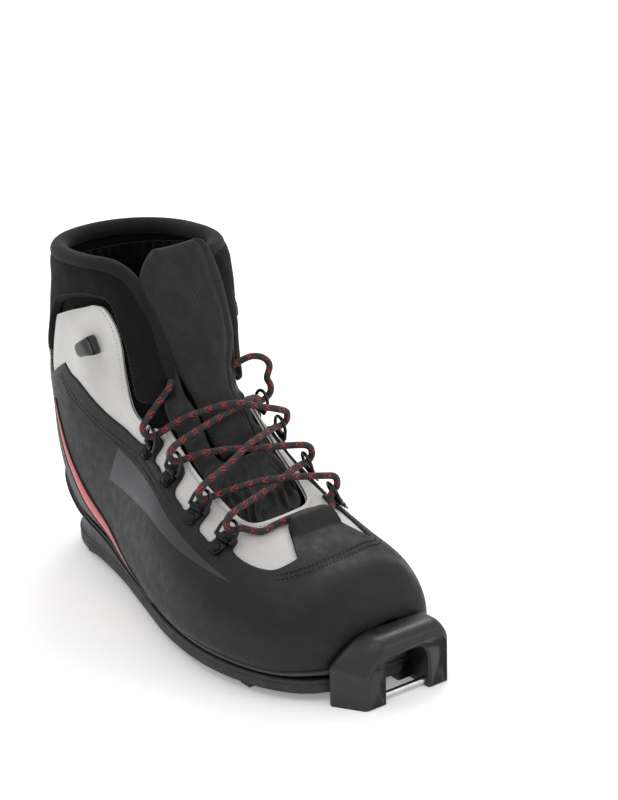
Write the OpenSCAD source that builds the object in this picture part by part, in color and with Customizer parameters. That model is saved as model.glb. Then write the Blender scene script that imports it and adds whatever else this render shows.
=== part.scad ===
/* [Upper] */
// Length of the upper, back of the heel to the front of the toe cap
upper_len = 287; // [239:0.2:345]
// Width of the upper across the ball of the foot
ball_w = 116; // [96:0.2:140]
// Height of the front of the collar above the ground
shaft_h = 202; // [168:0.2:243]
// Thickness of the synthetic leather of the vamp and quarters
leather_t = 1.8; // [1.4:0.1:2.2]
// Thickness of the light underlay, the toe puff and the heel counter
underlay_t = 1.4; // [1.1:0.1:1.7]
// Thickness of the padded inner boot
lining_t = 3.2; // [2.6:0.02:3.9]
// Thickness of the tongue's padding
tongue_t = 7; // [5.5:0.5:8.4]
// Thickness of the rubber heel cup and of the rand round the sole
cup_t = 2.6; // [2.1:0.1:3.1]
// Space between one layer and the next
layer_gap = 0.8; // [0.7:0.05:0.9]

/* [Sole] */
// Height of the top of the outsole above the ground
sole_h = 12.6; // [10.4:0.1:15.2]
// Height of the lugs under the outsole
lug_h = 5; // [4:0.2:6]
// Width of the guide groove under the sole
groove_w = 14; // [12:0.5:17]
// Depth of the guide groove, measured from the ground
groove_d = 8.6; // [7.5:0.1:9.4]
// Thickness of the insole
insole_t = 4.5; // [3.5:0.5:6]
// Thickness of the lasting board
board_t = 1.8; // [1.4:0.1:2.2]
// Thickness of the shank
shank_t = 1.2; // [1:0.1:1.5]

/* [Toe block] */
// Width of the toe block
block_w = 56; // [46:0.4:67.6]
// Height of the toe block
block_h = 37; // [33:1:40]
// Distance that the toe block stands in front of the upper
block_out = 18; // [16:0.5:22]
// Length of the toe block under the sole
block_under = 24; // [20:1:28]
// Width of the window, which is the free length of the toe bar
window_w = 29; // [24:0.2:35]
// Height of the window above the ground
window_h = 27; // [24:0.5:29]
// Diameter of the toe bar
bar_d = 4; // [3.5:0.1:4.8]
// Length of the toe bar inside each side of the toe block
bar_grip = 9; // [7:0.5:11]

/* [Lacing] */
// Diameter of the wire of the D-rings
wire_d = 2; // [1.6:0.1:2.4]
// Width of a D-ring between the middles of its sides
ring_w = 12; // [10:0.4:14.4]
// Length of the straight sides of a D-ring
ring_arm = 5; // [4:0.5:6]
// Angle that the D-rings stand up from the surface
ring_lift = 25; // [20:1:30]
// Clearance of a D-ring's wire in its barrel
pin_gap = 0.05; // [0.03:0.01:0.08]
// Wall of the barrel and thickness of the ring plates
plate_t = 0.8; // [0.7:0.1:1]
// Diameter of the rivets' shanks
rivet_d = 3; // [2.5:0.1:3.5]
// Diameter of the lace
lace_d = 4; // [4:0.1:4.2]

/* [Hidden] */
$fn = 48;

// The upper is a skin through flat sections that fan round the instep: they stand upright across
// the toe and lie level round the collar. Each row holds, at its place s from 0 at the toe to 1 at
// the collar: x and height of the section's low or back end, x and height of its top or front end,
// sideways shift, half width to the outer side, half width to the inner side, the share of the
// section at which it is widest, and how square its low half and its high half are. Heights are
// counted from the top of the outsole.
stations = [
    [0.00, [281,  4, 280,  24,  2, 16, 14, 0.42, 2.6, 2.2]],
    [0.03, [279,  2, 277,  39,  1, 36, 28, 0.38, 3.0, 2.3]],
    [0.07, [270,  1, 269,  49, -1, 51, 37, 0.36, 3.4, 2.3]],
    [0.13, [255,  0, 253,  57, -2, 62, 43, 0.34, 3.8, 2.3]],
    [0.22, [230,  0, 228,  64, -3, 70, 45, 0.32, 4.0, 2.2]],
    [0.32, [200,  0, 200,  75, -4, 72, 44, 0.30, 4.0, 2.2]],
    [0.42, [163,  0, 173,  91, -4, 68, 41, 0.29, 3.8, 2.2]],
    [0.50, [120,  1, 154, 107, -4, 59, 39, 0.31, 3.4, 2.2]],
    [0.58, [ 73,  2, 142, 118, -3, 51, 39, 0.38, 2.8, 2.1]],
    [0.66, [ 24,  5, 133, 128, -2, 48, 40, 0.46, 2.4, 2.1]],
    [0.72, [  0, 27, 128, 136, -2, 48, 41, 0.49, 2.2, 2.2]],
    [0.80, [ -6, 69, 122, 150, -2, 50, 43, 0.50, 2.1, 2.4]],
    [0.88, [ -5, 111, 116, 165, -2, 50, 45, 0.50, 2.1, 2.6]],
    [0.95, [  1, 152, 111, 179, -2, 46, 45, 0.50, 2.1, 2.6]],
    [1.00, [  0, 185, 106, 189, -2, 46, 45, 0.50, 2.1, 2.6]]];

// Scales from the written table to the driving sizes.
scale_x = upper_len / 287;
scale_y = ball_w / 116;
scale_z = (shaft_h - sole_h) / 189;

// The smooth curve through the rows around place s, as one list of values.
function row_at(s, i = 0) = i >= len(stations) - 2 || s < stations[i + 1][0] ? i : row_at(s, i + 1);
function slope(i) = let (a = max(i - 1, 0), b = min(i + 1, len(stations) - 1))
    (stations[b][1] - stations[a][1]) / (stations[b][0] - stations[a][0]);
function section(s) = let (i = row_at(s), h = stations[i + 1][0] - stations[i][0],
        t = (s - stations[i][0]) / h, t2 = t * t, t3 = t2 * t)
    (2 * t3 - 3 * t2 + 1) * stations[i][1] + (t3 - 2 * t2 + t) * h * slope(i)
    + (3 * t2 - 2 * t3) * stations[i + 1][1] + (t3 - t2) * h * slope(i + 1);

// A point of the skin. g runs round a section: 0 is its top or front, negative values lie on the
// outer side of the foot and positive ones on the inner side, and 1 and -1 are its low or back end.
function wrap(g) = g > 1 ? g - 2 : g < -1 ? g + 2 : g;
function skin(s, g) = s > 1 ? skin(1, g) + (s - 1) * 100 * (skin(1, g) - skin(0.99, g)) :
    let (q = section(s), w = wrap(g), side = w < 0 ? -1 : 1, a = 180 * (1 - abs(w)),
        c = abs(cos(a)), e = a < 90 ? 2 / q[8] : 2 / q[9],
        v = a < 90 ? q[7] * (1 - pow(c, e)) : q[7] + (1 - q[7]) * pow(c, e),
        y = (w < 0 ? q[5] : q[6]) * pow(abs(sin(a)), e))
    [(q[0] + (q[2] - q[0]) * v) * scale_x, (q[4] + side * y) * scale_y,
        sole_h + (q[1] + (q[3] - q[1]) * v) * scale_z];
function unit(v) = v / norm(v);
// A step of g from the ends of a section, where its direction is not defined.
function clear_g(g) = let (w = wrap(g)) abs(w) < 0.004 ? 0.004 : abs(w) > 0.996 ? sign(w) * 0.996 : w;
function normal(s, g) = let (w = clear_g(g), d = 0.002, t = min(s, 1), lo = max(t - d, 0), hi = min(t + d, 1))
    unit(cross(skin(t, w + d) - skin(t, w - d), skin(hi, w) - skin(lo, w)));
// A point at a height above the skin, or below it when the height is negative.
function above(s, g, height) = skin(s, g) + height * normal(s, g);

// A smooth open line through points, with k steps between each two.
function pt(p, i) = p[min(max(i, 0), len(p) - 1)];
function smooth(p, k) = [for (i = [0 : len(p) - 2]) for (j = [0 : k - 1]) let (t = j / k)
        0.5 * ((2 * p[i]) + (pt(p, i + 1) - pt(p, i - 1)) * t
        + (2 * pt(p, i - 1) - 5 * p[i] + 4 * pt(p, i + 1) - pt(p, i + 2)) * t * t
        + (3 * p[i] - pt(p, i - 1) - 3 * pt(p, i + 1) + pt(p, i + 2)) * t * t * t), p[len(p) - 1]];

// A panel of even thickness between two edge lines of [s, g] points, with m cells across.
// low and high are the heights of its two faces above the skin.
module panel(edge_a, edge_b, m, low, high) {
    n = len(edge_a) - 1;
    row = m + 1;
    face = (n + 1) * row;
    at = function (i, j) edge_a[i] + (edge_b[i] - edge_a[i]) * j / m;
    points = [for (h = [low, high]) for (i = [0 : n]) for (j = [0 : m]) above(at(i, j)[0], at(i, j)[1], h)];
    k = function (f, i, j) f * face + i * row + j;
    // The faces are turned over where the cells run the other way round the skin.
    mid_n = floor(n / 2);
    mid_m = floor(m / 2);
    c = at(mid_n, mid_m);
    di = skin(at(mid_n + 1, mid_m)[0], at(mid_n + 1, mid_m)[1]) - skin(c[0], c[1]);
    dj = skin(at(mid_n, mid_m + 1)[0], at(mid_n, mid_m + 1)[1]) - skin(c[0], c[1]);
    flip = cross(di, dj) * normal(c[0], c[1]) < 0;
    quads = concat(
        [for (i = [0 : n - 1]) for (j = [0 : m - 1]) [k(0, i, j), k(0, i + 1, j), k(0, i + 1, j + 1), k(0, i, j + 1)]],
        [for (i = [0 : n - 1]) for (j = [0 : m - 1]) [k(1, i, j + 1), k(1, i + 1, j + 1), k(1, i + 1, j), k(1, i, j)]],
        [for (i = [0 : n - 1]) [k(0, i, 0), k(1, i, 0), k(1, i + 1, 0), k(0, i + 1, 0)]],
        [for (i = [0 : n - 1]) [k(0, i + 1, m), k(1, i + 1, m), k(1, i, m), k(0, i, m)]],
        [for (j = [0 : m - 1]) [k(0, 0, j + 1), k(1, 0, j + 1), k(1, 0, j), k(0, 0, j)]],
        [for (j = [0 : m - 1]) [k(0, n, j), k(1, n, j), k(1, n, j + 1), k(0, n, j + 1)]]);
    tris = [for (q = quads) each [[q[0], q[1], q[2]], [q[0], q[2], q[3]]]];
    polyhedron(points, [for (t = tris) flip ? [t[2], t[1], t[0]] : t]);
}

// The whole boot is moved so that the middle of its ground box is at the origin.
heel_back = -7 * scale_x;
toe_front = 281 * scale_x + block_out;
mid_x = (heel_back + toe_front) / 2;
mid_y = -14 * scale_y;
module place() { translate([-mid_x, -mid_y, 0]) children(); }

// Heights of the layers above the skin, from the outside in.
under_top = -leather_t - layer_gap;
under_low = under_top - underlay_t;
lining_top = under_low - layer_gap;
lining_low = lining_top - lining_t;

// Colours of the materials.
black = "#2e2e30";
rubber = "#3c3c3d";
light = "#cfcecb";
red = "#c8372f";
fabric = "#2b2a2b";
steel = "#b9bbbd";

// Reads a list of [s, g] from the outer side as the same list on the inner side.
function mirrored(e) = [for (p = e) [p[0], -p[1]]];
// A list from the front of the outer side to the middle of the back, carried on round the back.
function round_back(e) = concat(e, [for (i = [len(e) - 2 : -1 : 0]) [e[i][0], -2 - e[i][1]]]);

// Outline of the sole on the ground: outer side from the toe to the heel, then the inner side back.
sole_points = [[281, -14], [272, -42], [255, -57], [230, -66], [200, -69], [164, -65], [123, -54], [90, -45],
    [60, -39], [32, -35], [14, -26], [5, -13], [4, 0], [9, 14], [24, 26], [55, 29], [90, 28], [123, 29],
    [164, 33], [200, 37], [230, 38], [255, 35], [272, 27], [281, 12]];
sole_ring = [for (p = smooth(concat(sole_points, [sole_points[0]]), 3)) [p[0] * scale_x, p[1] * scale_y]];
sole_line = [for (i = [0 : len(sole_ring) - 2]) sole_ring[i]];
function inset(p, d) = [for (i = [0 : len(p) - 1]) let (n = len(p), t = p[(i + 1) % n] - p[(i + n - 1) % n])
        p[i] + d * [-t[1], t[0]] / norm(t) * inward];
inward = -1;

// Places of the lugs, as distances from the heel, each row on both sides of the groove.
heel_lugs = [14, 34, 54];
front_lugs = [178, 196, 214, 232];
lug_len = 11;
block_rear = 281 * scale_x - block_under;

// One lug: a bar across the sole whose sides slope in towards the ground.
module lug(x, y_in, y_out) {
    slope = 1.5;
    translate([x, min(y_in, y_out), 0]) rotate([-90, 0, 0]) linear_extrude(abs(y_out - y_in))
        polygon([[-lug_len / 2, -lug_h - 0.5], [lug_len / 2, -lug_h - 0.5],
            [lug_len / 2 - slope, 0], [slope - lug_len / 2, 0]]);
}
module outsole() {
    floor_t = 1.2;
    color(rubber) place() difference() {
        union() {
            translate([0, 0, lug_h]) linear_extrude(sole_h - lug_h) polygon(sole_line);
            for (x = heel_lugs) {
                lug(x * scale_x, -groove_w / 2, (x < 20 ? -22 : -32) * scale_y);
                lug(x * scale_x, groove_w / 2, (x < 20 ? 16 : 24) * scale_y);
            }
            for (x = front_lugs) {
                lug(x * scale_x, -groove_w / 2 - 14, -60 * scale_y);
                lug(x * scale_x, groove_w / 2, 30 * scale_y);
            }
        }
        translate([0, 0, groove_d + floor_t]) linear_extrude(sole_h) polygon(inset(sole_line, 9));
        translate([24 * scale_x, -groove_w / 2, -1]) cube([upper_len, groove_w, groove_d + 1]);
        translate([block_rear - 0.3, -block_w / 2 - 0.3, -1]) cube([2 * block_under, block_w + 0.6, sole_h + 2]);
    }
}
module midsole() color("#55555a") place() difference() {
    low = groove_d + 1.2 + 0.3;
    translate([0, 0, low]) linear_extrude(sole_h - low) polygon(inset(sole_line, 9.5));
    translate([block_rear - 0.6, -block_w / 2 - 0.6, 0]) cube([2 * block_under, block_w + 1.2, sole_h + 2]);
}

// The toe block stands in front of the toe cap and runs back under it.
ledge_x = 281 * scale_x + 1.5;
bar_x = toe_front - 3 - bar_d / 2;
bar_z = 1 + bar_d / 2;
module toe_block() color(black) place() difference() {
    edge = 9;
    top = concat([for (a = [0 : 15 : 75]) [toe_front - 1.5 - edge + edge * cos(a), block_h - edge + edge * sin(a)]],
        [[ledge_x + 3, block_h], [ledge_x, block_h - 3]]);
    translate([0, block_w / 2, 0]) rotate([90, 0, 0]) linear_extrude(block_w)
        polygon(concat([[block_rear, sole_h], [block_rear, 3], [block_rear + 6, 0], [toe_front - 1, 0],
            [toe_front, 1.5]], top, [[ledge_x, sole_h]]));
    window_d = 17;
    translate([toe_front - window_d, -window_w / 2, -1]) cube([window_d + 1, window_w, window_h + 1]);
    translate([block_rear - 1, -groove_w / 2, -1]) cube([block_under + block_out, groove_w, groove_d + 1]);
    translate([bar_x, -window_w / 2 - bar_grip, bar_z]) rotate([-90, 0, 0])
        cylinder(h = window_w + 2 * bar_grip, d = bar_d + 0.1);
}
module toe_bar() color(steel) place()
    translate([bar_x, -window_w / 2 - bar_grip + 0.2, bar_z]) rotate([-90, 0, 0])
        cylinder(h = window_w + 2 * bar_grip - 0.4, d = bar_d);

// Rubber rand and heel cup, on the outside of the skin.
rand_edge = [[0.06, -0.68], [0.10, -0.68], [0.16, -0.68], [0.24, -0.68], [0.32, -0.68], [0.40, -0.69], [0.47, -0.71]];
module rand() color(rubber) place() for (e = [rand_edge, mirrored(rand_edge)])
    panel(smooth(e, 2), smooth([for (p = e) [p[0], p[1] + sign(p[1]) * 0.09]], 2), 2, 0.3, cup_t);
cup_high = round_back([[0.49, -0.725], [0.55, -0.70], [0.60, -0.70], [0.66, -0.72], [0.70, -0.78], [0.735, -0.88], [0.75, -1]]);
cup_low = round_back([[0.49, -0.80], [0.53, -0.81], [0.57, -0.83], [0.61, -0.87], [0.64, -0.91], [0.66, -0.955], [0.668, -1]]);
module heel_cup() color(rubber) place() panel(smooth(cup_high, 2), smooth(cup_low, 2), 4, 0.3, cup_t + 0.3);

// Inner pieces of the bottom, from the board up to the insole.
function strip(s, half) = [for (i = [0 : len(s) - 1]) [s[i], -1 + half[i]]];
foot_s = [0.06, 0.10, 0.16, 0.24, 0.32, 0.40, 0.47, 0.53, 0.58, 0.62];
board_top = -0.6;
module lasting_board() {
    half = [for (s = foot_s) s < 0.1 ? 0.16 : s > 0.5 ? 0.16 : 0.2];
    color("#8a7a62") place() panel(strip(foot_s, half), strip(foot_s, -half), 4, board_top - board_t, board_top);
}
module shank() {
    s = [for (i = [4 : 8]) foot_s[i]];
    half = [0.05, 0.07, 0.07, 0.07, 0.05];
    low = board_top - board_t - 0.5 - shank_t;
    color(steel) place() panel(strip(s, half), strip(s, -half), 2, low, low + shank_t);
}
module insole() {
    half = [0.16, 0.19, 0.2, 0.2, 0.2, 0.2, 0.2, 0.2, 0.18, 0.15];
    top = lining_low - 0.5;
    color("#6f7072") place() panel(strip(foot_s, half), strip(foot_s, -half), 4, top - insole_t, top);
}

// Stiffeners between the leather and the inner boot.
module toe_puff() {
    g = [for (i = [-6 : 6]) i / 11];
    color("#8f8672") place() panel([for (x = g) [0.02, x]], [for (x = g) [0.125, x]], 4, under_low, under_top);
}
counter_high = round_back([[0.53, -0.65], [0.60, -0.62], [0.68, -0.63], [0.74, -0.70], [0.78, -0.80], [0.80, -0.9], [0.805, -1]]);
counter_low = round_back([[0.53, -0.77], [0.57, -0.80], [0.61, -0.84], [0.64, -0.88], [0.66, -0.925], [0.67, -0.96], [0.674, -1]]);
module heel_counter() color("#8f8672") place()
    panel(smooth(counter_high, 2), smooth(counter_low, 2), 5, under_low, under_top);

// The padded inner boot wraps under the foot and round the heel, and is open along the throat.
boot_out = [[0.20, -0.26], [0.25, -0.20], [0.32, -0.175], [0.40, -0.18], [0.48, -0.20], [0.54, -0.215], [0.60, -0.22],
    [0.66, -0.215], [0.72, -0.21], [0.80, -0.205], [0.88, -0.215], [0.94, -0.245], [0.98, -0.28]];
boot_in = [[0.20, -1.78], [0.25, -1.84], [0.32, -1.87], [0.40, -1.86], [0.48, -1.84], [0.54, -1.82], [0.60, -1.81],
    [0.66, -1.80], [0.72, -1.81], [0.80, -1.83], [0.88, -1.865], [0.94, -1.885], [0.98, -1.9]];
module inner_boot() color("#322f37") place()
    panel(smooth(boot_out, 2), smooth(boot_in, 2), 26, lining_low, lining_top);
module toe_lining() {
    g = [for (i = [-9 : 9]) i / 11.5];
    color("#322f37") place() panel([for (x = g) [0.03, x]], [for (x = g) [0.187, x]], 5, lining_low, lining_top);
}

// Leather: the vamp with its centre tab, and the two quarters.
vamp_g = [-0.70, -0.60, -0.50, -0.40, -0.31, -0.25, -0.22, -0.19, -0.14, -0.095, -0.08, -0.03, 0.03, 0.08, 0.095,
    0.13, 0.17, 0.20, 0.24, 0.31, 0.40, 0.50, 0.60, 0.70];
vamp_s = [0.298, 0.298, 0.298, 0.298, 0.298, 0.298, 0.25, 0.20, 0.178, 0.178, 0.236, 0.247, 0.247, 0.236, 0.178,
    0.178, 0.20, 0.25, 0.298, 0.298, 0.298, 0.298, 0.298, 0.298];
module vamp() {
    n = len(vamp_g) - 1;
    color(black) place()
        panel([for (i = [0 : n]) [0.001, vamp_g[i]]], [for (i = [0 : n]) [vamp_s[i], vamp_g[i]]], 11, -leather_t, 0);
}
quarter_high = [[0.842, -0.52], [0.79, -0.455], [0.73, -0.39], [0.672, -0.345], [0.60, -0.295], [0.508, -0.255],
    [0.45, -0.225], [0.398, -0.21], [0.35, -0.205], [0.305, -0.205]];
quarter_low = [[0.83, -0.66], [0.77, -0.645], [0.72, -0.625], [0.66, -0.605], [0.60, -0.60], [0.53, -0.61],
    [0.46, -0.65], [0.39, -0.69], [0.34, -0.70], [0.305, -0.70]];
// On the inner side the throat's edge lies a little nearer to the middle.
quarter_high_in = [[0.842, 0.50], [0.79, 0.43], [0.73, 0.36], [0.672, 0.315], [0.60, 0.265], [0.508, 0.225],
    [0.45, 0.205], [0.398, 0.19], [0.35, 0.185], [0.305, 0.185]];
module quarter(high, low) color(black) place() panel(smooth(high, 2), smooth(low, 2), 6, -leather_t, 0);
module quarter_lateral() quarter(quarter_high, quarter_low);
module quarter_medial() quarter(quarter_high_in, mirrored(quarter_low));

// Light panels: the horseshoe round the throat and the two ankle panels.
under_in = [[0.585, -0.235], [0.51, -0.205], [0.44, -0.178], [0.37, -0.152], [0.305, -0.135], [0.275, -0.10],
    [0.262, -0.03], [0.275, 0.04], [0.305, 0.075], [0.37, 0.10], [0.44, 0.125], [0.51, 0.15], [0.585, 0.18]];
under_out = [[0.585, -0.33], [0.51, -0.29], [0.44, -0.26], [0.37, -0.245], [0.28, -0.245], [0.20, -0.22],
    [0.15, 0], [0.20, 0.20], [0.28, 0.225], [0.37, 0.225], [0.44, 0.24], [0.51, 0.26], [0.585, 0.30]];
module throat_underlay() color(light) place()
    panel(smooth(under_in, 2), smooth(under_out, 2), 4, under_low, under_top);
ankle_front = [[0.92, -0.42], [0.90, -0.335], [0.83, -0.30], [0.75, -0.31], [0.68, -0.315], [0.63, -0.285], [0.595, -0.25]];
ankle_back = [[0.915, -0.63], [0.88, -0.66], [0.835, -0.67], [0.77, -0.50], [0.70, -0.42], [0.65, -0.38], [0.60, -0.345]];
module ankle_panel_lateral() color(light) place()
    panel(smooth(ankle_front, 2), smooth(ankle_back, 2), 5, under_low, under_top);
module ankle_panel_medial() color(light) place()
    panel(smooth(mirrored(ankle_front), 2), smooth(mirrored(ankle_back), 2), 5, under_low, under_top);

// Mesh round the back of the heel, and the tapered stripe in front of it.
mesh_high = round_back([[0.57, -0.684], [0.62, -0.672], [0.68, -0.667], [0.74, -0.68], [0.80, -0.695], [0.828, -0.78],
    [0.834, -0.9], [0.834, -1]]);
mesh_low = round_back([[0.565, -0.692], [0.61, -0.695], [0.65, -0.705], [0.70, -0.765], [0.732, -0.85], [0.752, -0.92],
    [0.76, -0.96], [0.762, -1]]);
module heel_mesh() color("#77787a") place() panel(smooth(mesh_high, 2), smooth(mesh_low, 2), 4, -leather_t, -0.2);
stripe_high = [[0.80, -0.662], [0.74, -0.64], [0.68, -0.62], [0.62, -0.609], [0.56, -0.611], [0.50, -0.636], [0.455, -0.665]];
stripe_low = [[0.80, -0.674], [0.74, -0.658], [0.68, -0.645], [0.62, -0.652], [0.56, -0.668], [0.50, -0.688], [0.455, -0.69]];
module stripe(side) color(red) place() panel(smooth([for (p = stripe_high) [p[0], side * p[1]]], 2),
    smooth([for (p = stripe_low) [p[0], side * p[1]]], 2), 2, -leather_t, -0.2);
module stripe_lateral() stripe(1);
module stripe_medial() stripe(-1);

// The collar goes round the back of the ankle, and its front edges stand beside the tongue.
collar_high = [[0.99, -0.262], [0.99, -0.30], [0.99, -0.33], [0.99, -0.36], [0.99, -0.40], [0.99, -0.46], [0.99, -0.54],
    [0.99, -0.62], [0.99, -0.69], [0.99, -0.76], [0.99, -0.84], [0.99, -0.92], [0.99, -1]];
collar_low = [[0.66, -0.19], [0.665, -0.235], [0.69, -0.295], [0.80, -0.285], [0.905, -0.318], [0.935, -0.40],
    [0.94, -0.52], [0.93, -0.645], [0.885, -0.69], [0.855, -0.74], [0.85, -0.83], [0.85, -0.92], [0.85, -1]];
collar_high_in = [for (p = collar_high) [p[0], -p[1] - 0.187 * pow((1 + p[1]) / 0.738, 2)]];
module collar() color(fabric) place() {
    high = concat(collar_high, [for (i = [11 : -1 : 0]) [0.99, collar_high_in[i][1] - 2]]);
    low_in = [for (i = [11 : -1 : 1]) [collar_low[i][0], -2 - collar_low[i][1]]];
    low = concat(collar_low, low_in, [[0.66, -1.81]]);
    panel(high, low, 7, under_low, 0);
}

// Crinkled gusset, and the tongue in two pieces that meet at the hinge line.
gusset_out = [[0.64, -0.225], [0.58, -0.222], [0.52, -0.197], [0.44, -0.168], [0.36, -0.14], [0.31, -0.12],
    [0.288, -0.09], [0.278, -0.03], [0.288, 0.03], [0.31, 0.06], [0.36, 0.085], [0.44, 0.112], [0.52, 0.14],
    [0.58, 0.165], [0.64, 0.19]];
gusset_in = [[0.64, -0.145], [0.58, -0.125], [0.52, -0.11], [0.46, -0.105], [0.435, -0.09], [0.43, -0.065],
    [0.428, -0.04], [0.428, -0.02], [0.428, 0], [0.43, 0.025], [0.435, 0.05], [0.46, 0.065], [0.52, 0.08],
    [0.58, 0.10], [0.64, 0.125]];
module gusset() color(fabric) place()
    panel(smooth(gusset_out, 2), smooth(gusset_in, 2), 3, under_low - 0.3, under_top - 0.3);
tongue_top = -1;
hinge_s = 0.69;
module tongue_lower() {
    left = [[0.44, -0.08], [0.50, -0.095], [0.56, -0.108], [0.62, -0.122], [hinge_s - 0.004, -0.135]];
    right = [[0.44, 0.04], [0.50, 0.062], [0.56, 0.08], [0.62, 0.105], [hinge_s - 0.004, 0.135]];
    color(fabric) place() panel(smooth(left, 2), smooth(right, 2), 6, tongue_top - tongue_t, tongue_top);
}
module tongue_upper() {
    left = [[hinge_s, -0.135], [0.74, -0.138], [0.80, -0.14], [0.86, -0.145], [0.92, -0.175], [0.98, -0.225], [1.04, -0.20]];
    right = [[hinge_s, 0.135], [0.74, 0.132], [0.80, 0.105], [0.86, 0.08], [0.92, 0.06], [0.98, 0.05], [1.04, 0.02]];
    color(fabric) place() panel(smooth(left, 2), smooth(right, 2), 7, tongue_top - tongue_t, tongue_top);
}

// Sets its children on the skin: x along the throat's edge, y towards the throat, z away from it.
module on_skin(s, g, height) {
    n = normal(s, g);
    across = skin(s, g + 0.002) - skin(s, g - 0.002);
    flat = across - (across * n) * n;
    y = unit(g < 0 ? flat : -flat);
    x = cross(y, n);
    p = above(s, g, height);
    multmatrix([[x[0], y[0], n[0], p[0]], [x[1], y[1], n[1], p[1]], [x[2], y[2], n[2], p[2]], [0, 0, 0, 1]]) children();
}
// Places of the D-rings, from the ankle to the toe.
ring_s = [0.575, 0.478, 0.385, 0.30];
ring_out_g = [-0.29, -0.245, -0.225, -0.22];
ring_in_g = [0.255, 0.22, 0.205, 0.2];
pin_height = 0.5 + plate_t + pin_gap + wire_d / 2;
module ring_wire() {
    a = ring_w / 2;
    rotate([ring_lift, 0, 0]) {
        translate([-a, 0, 0]) rotate([0, 90, 0]) cylinder(h = ring_w, d = wire_d);
        for (x = [-a, a]) translate([x, 0, 0]) {
            sphere(d = wire_d, $fn = 24);
            rotate([-90, 0, 0]) cylinder(h = ring_arm, d = wire_d);
        }
        translate([0, ring_arm, 0]) rotate_extrude(angle = 180, $fn = 48) translate([a, 0]) circle(d = wire_d, $fn = 24);
    }
}
module ring(side, i) color(steel) place()
    on_skin(ring_s[i], side < 0 ? ring_out_g[i] : ring_in_g[i], pin_height) ring_wire();
barrel_len = ring_w - wire_d - 1.6;
plate_len = 10;
module ring_plate() {
    outer = wire_d + 2 * pin_gap + 2 * plate_t;
    difference() {
        union() {
            translate([-barrel_len / 2, 0, 0]) rotate([0, 90, 0]) cylinder(h = barrel_len, d = outer);
            translate([0, 0, -outer / 2]) linear_extrude(plate_t)
                polygon([[-barrel_len / 2, 0], [barrel_len / 2, 0], [3.2, -plate_len + 1], [2, -plate_len], [-2, -plate_len],
                    [-3.2, -plate_len + 1]]);
        }
        translate([-ring_w / 2, 0, 0]) rotate([0, 90, 0]) cylinder(h = ring_w, d = wire_d + 2 * pin_gap);
        translate([0, -6, -outer]) cylinder(h = outer, d = rivet_d + 0.1);
    }
}
module at_rings() for (i = [0 : 3]) for (g = [ring_out_g[i], ring_in_g[i]]) on_skin(ring_s[i], g, pin_height) children();
module ring_plates() color("#4a4b4d") place() at_rings() ring_plate();
// A rivet: a low round head and a shank through the piece it holds.
module rivet(grip) {
    head_r = 0.85 * rivet_d;
    translate([0, 0, -grip]) cylinder(h = grip + 0.1, d = rivet_d);
    translate([0, 0, 0.05]) cylinder(h = 0.5, r = head_r);
    translate([0, 0, 0.55]) cylinder(h = 0.5, r1 = head_r, r2 = 0.6 * head_r);
}
module ring_rivets() color("#6d6e70") place() at_rings()
    translate([0, -6, -(wire_d / 2 + pin_gap)]) rivet(plate_t);

// Speed hooks: a base plate, a post on the side of the tongue and a lip that turns back over the base.
hook_s = 0.85;
hook_g = -0.42;
hook_w = 10;
module hook_body() rotate([90, 0, 90]) translate([0, 0, -hook_w / 2]) difference() {
    linear_extrude(hook_w) polygon([[-7, 0], [6, 0], [7, 1], [7, 7.4], [5.5, 8.9], [-3, 8.9], [-4, 8.1], [-4, 7.1],
        [3.6, 7.1], [4.2, 6.5], [4.2, 2.6], [3.6, 2], [-7, 2]]);
    translate([-3, -1, hook_w / 2]) rotate([-90, 0, 0]) cylinder(h = 4, d = rivet_d + 0.1);
}
module hook(g) color("#1d1d1f") place() on_skin(hook_s, g, under_top + 0.6) hook_body();
module hook_lateral() hook(hook_g);
module hook_medial() hook(-hook_g);
module hook_rivets() color("#6d6e70") place() for (g = [hook_g, -hook_g])
    on_skin(hook_s, g, under_top + 0.6) translate([0, -3, 2]) rivet(2);

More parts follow.
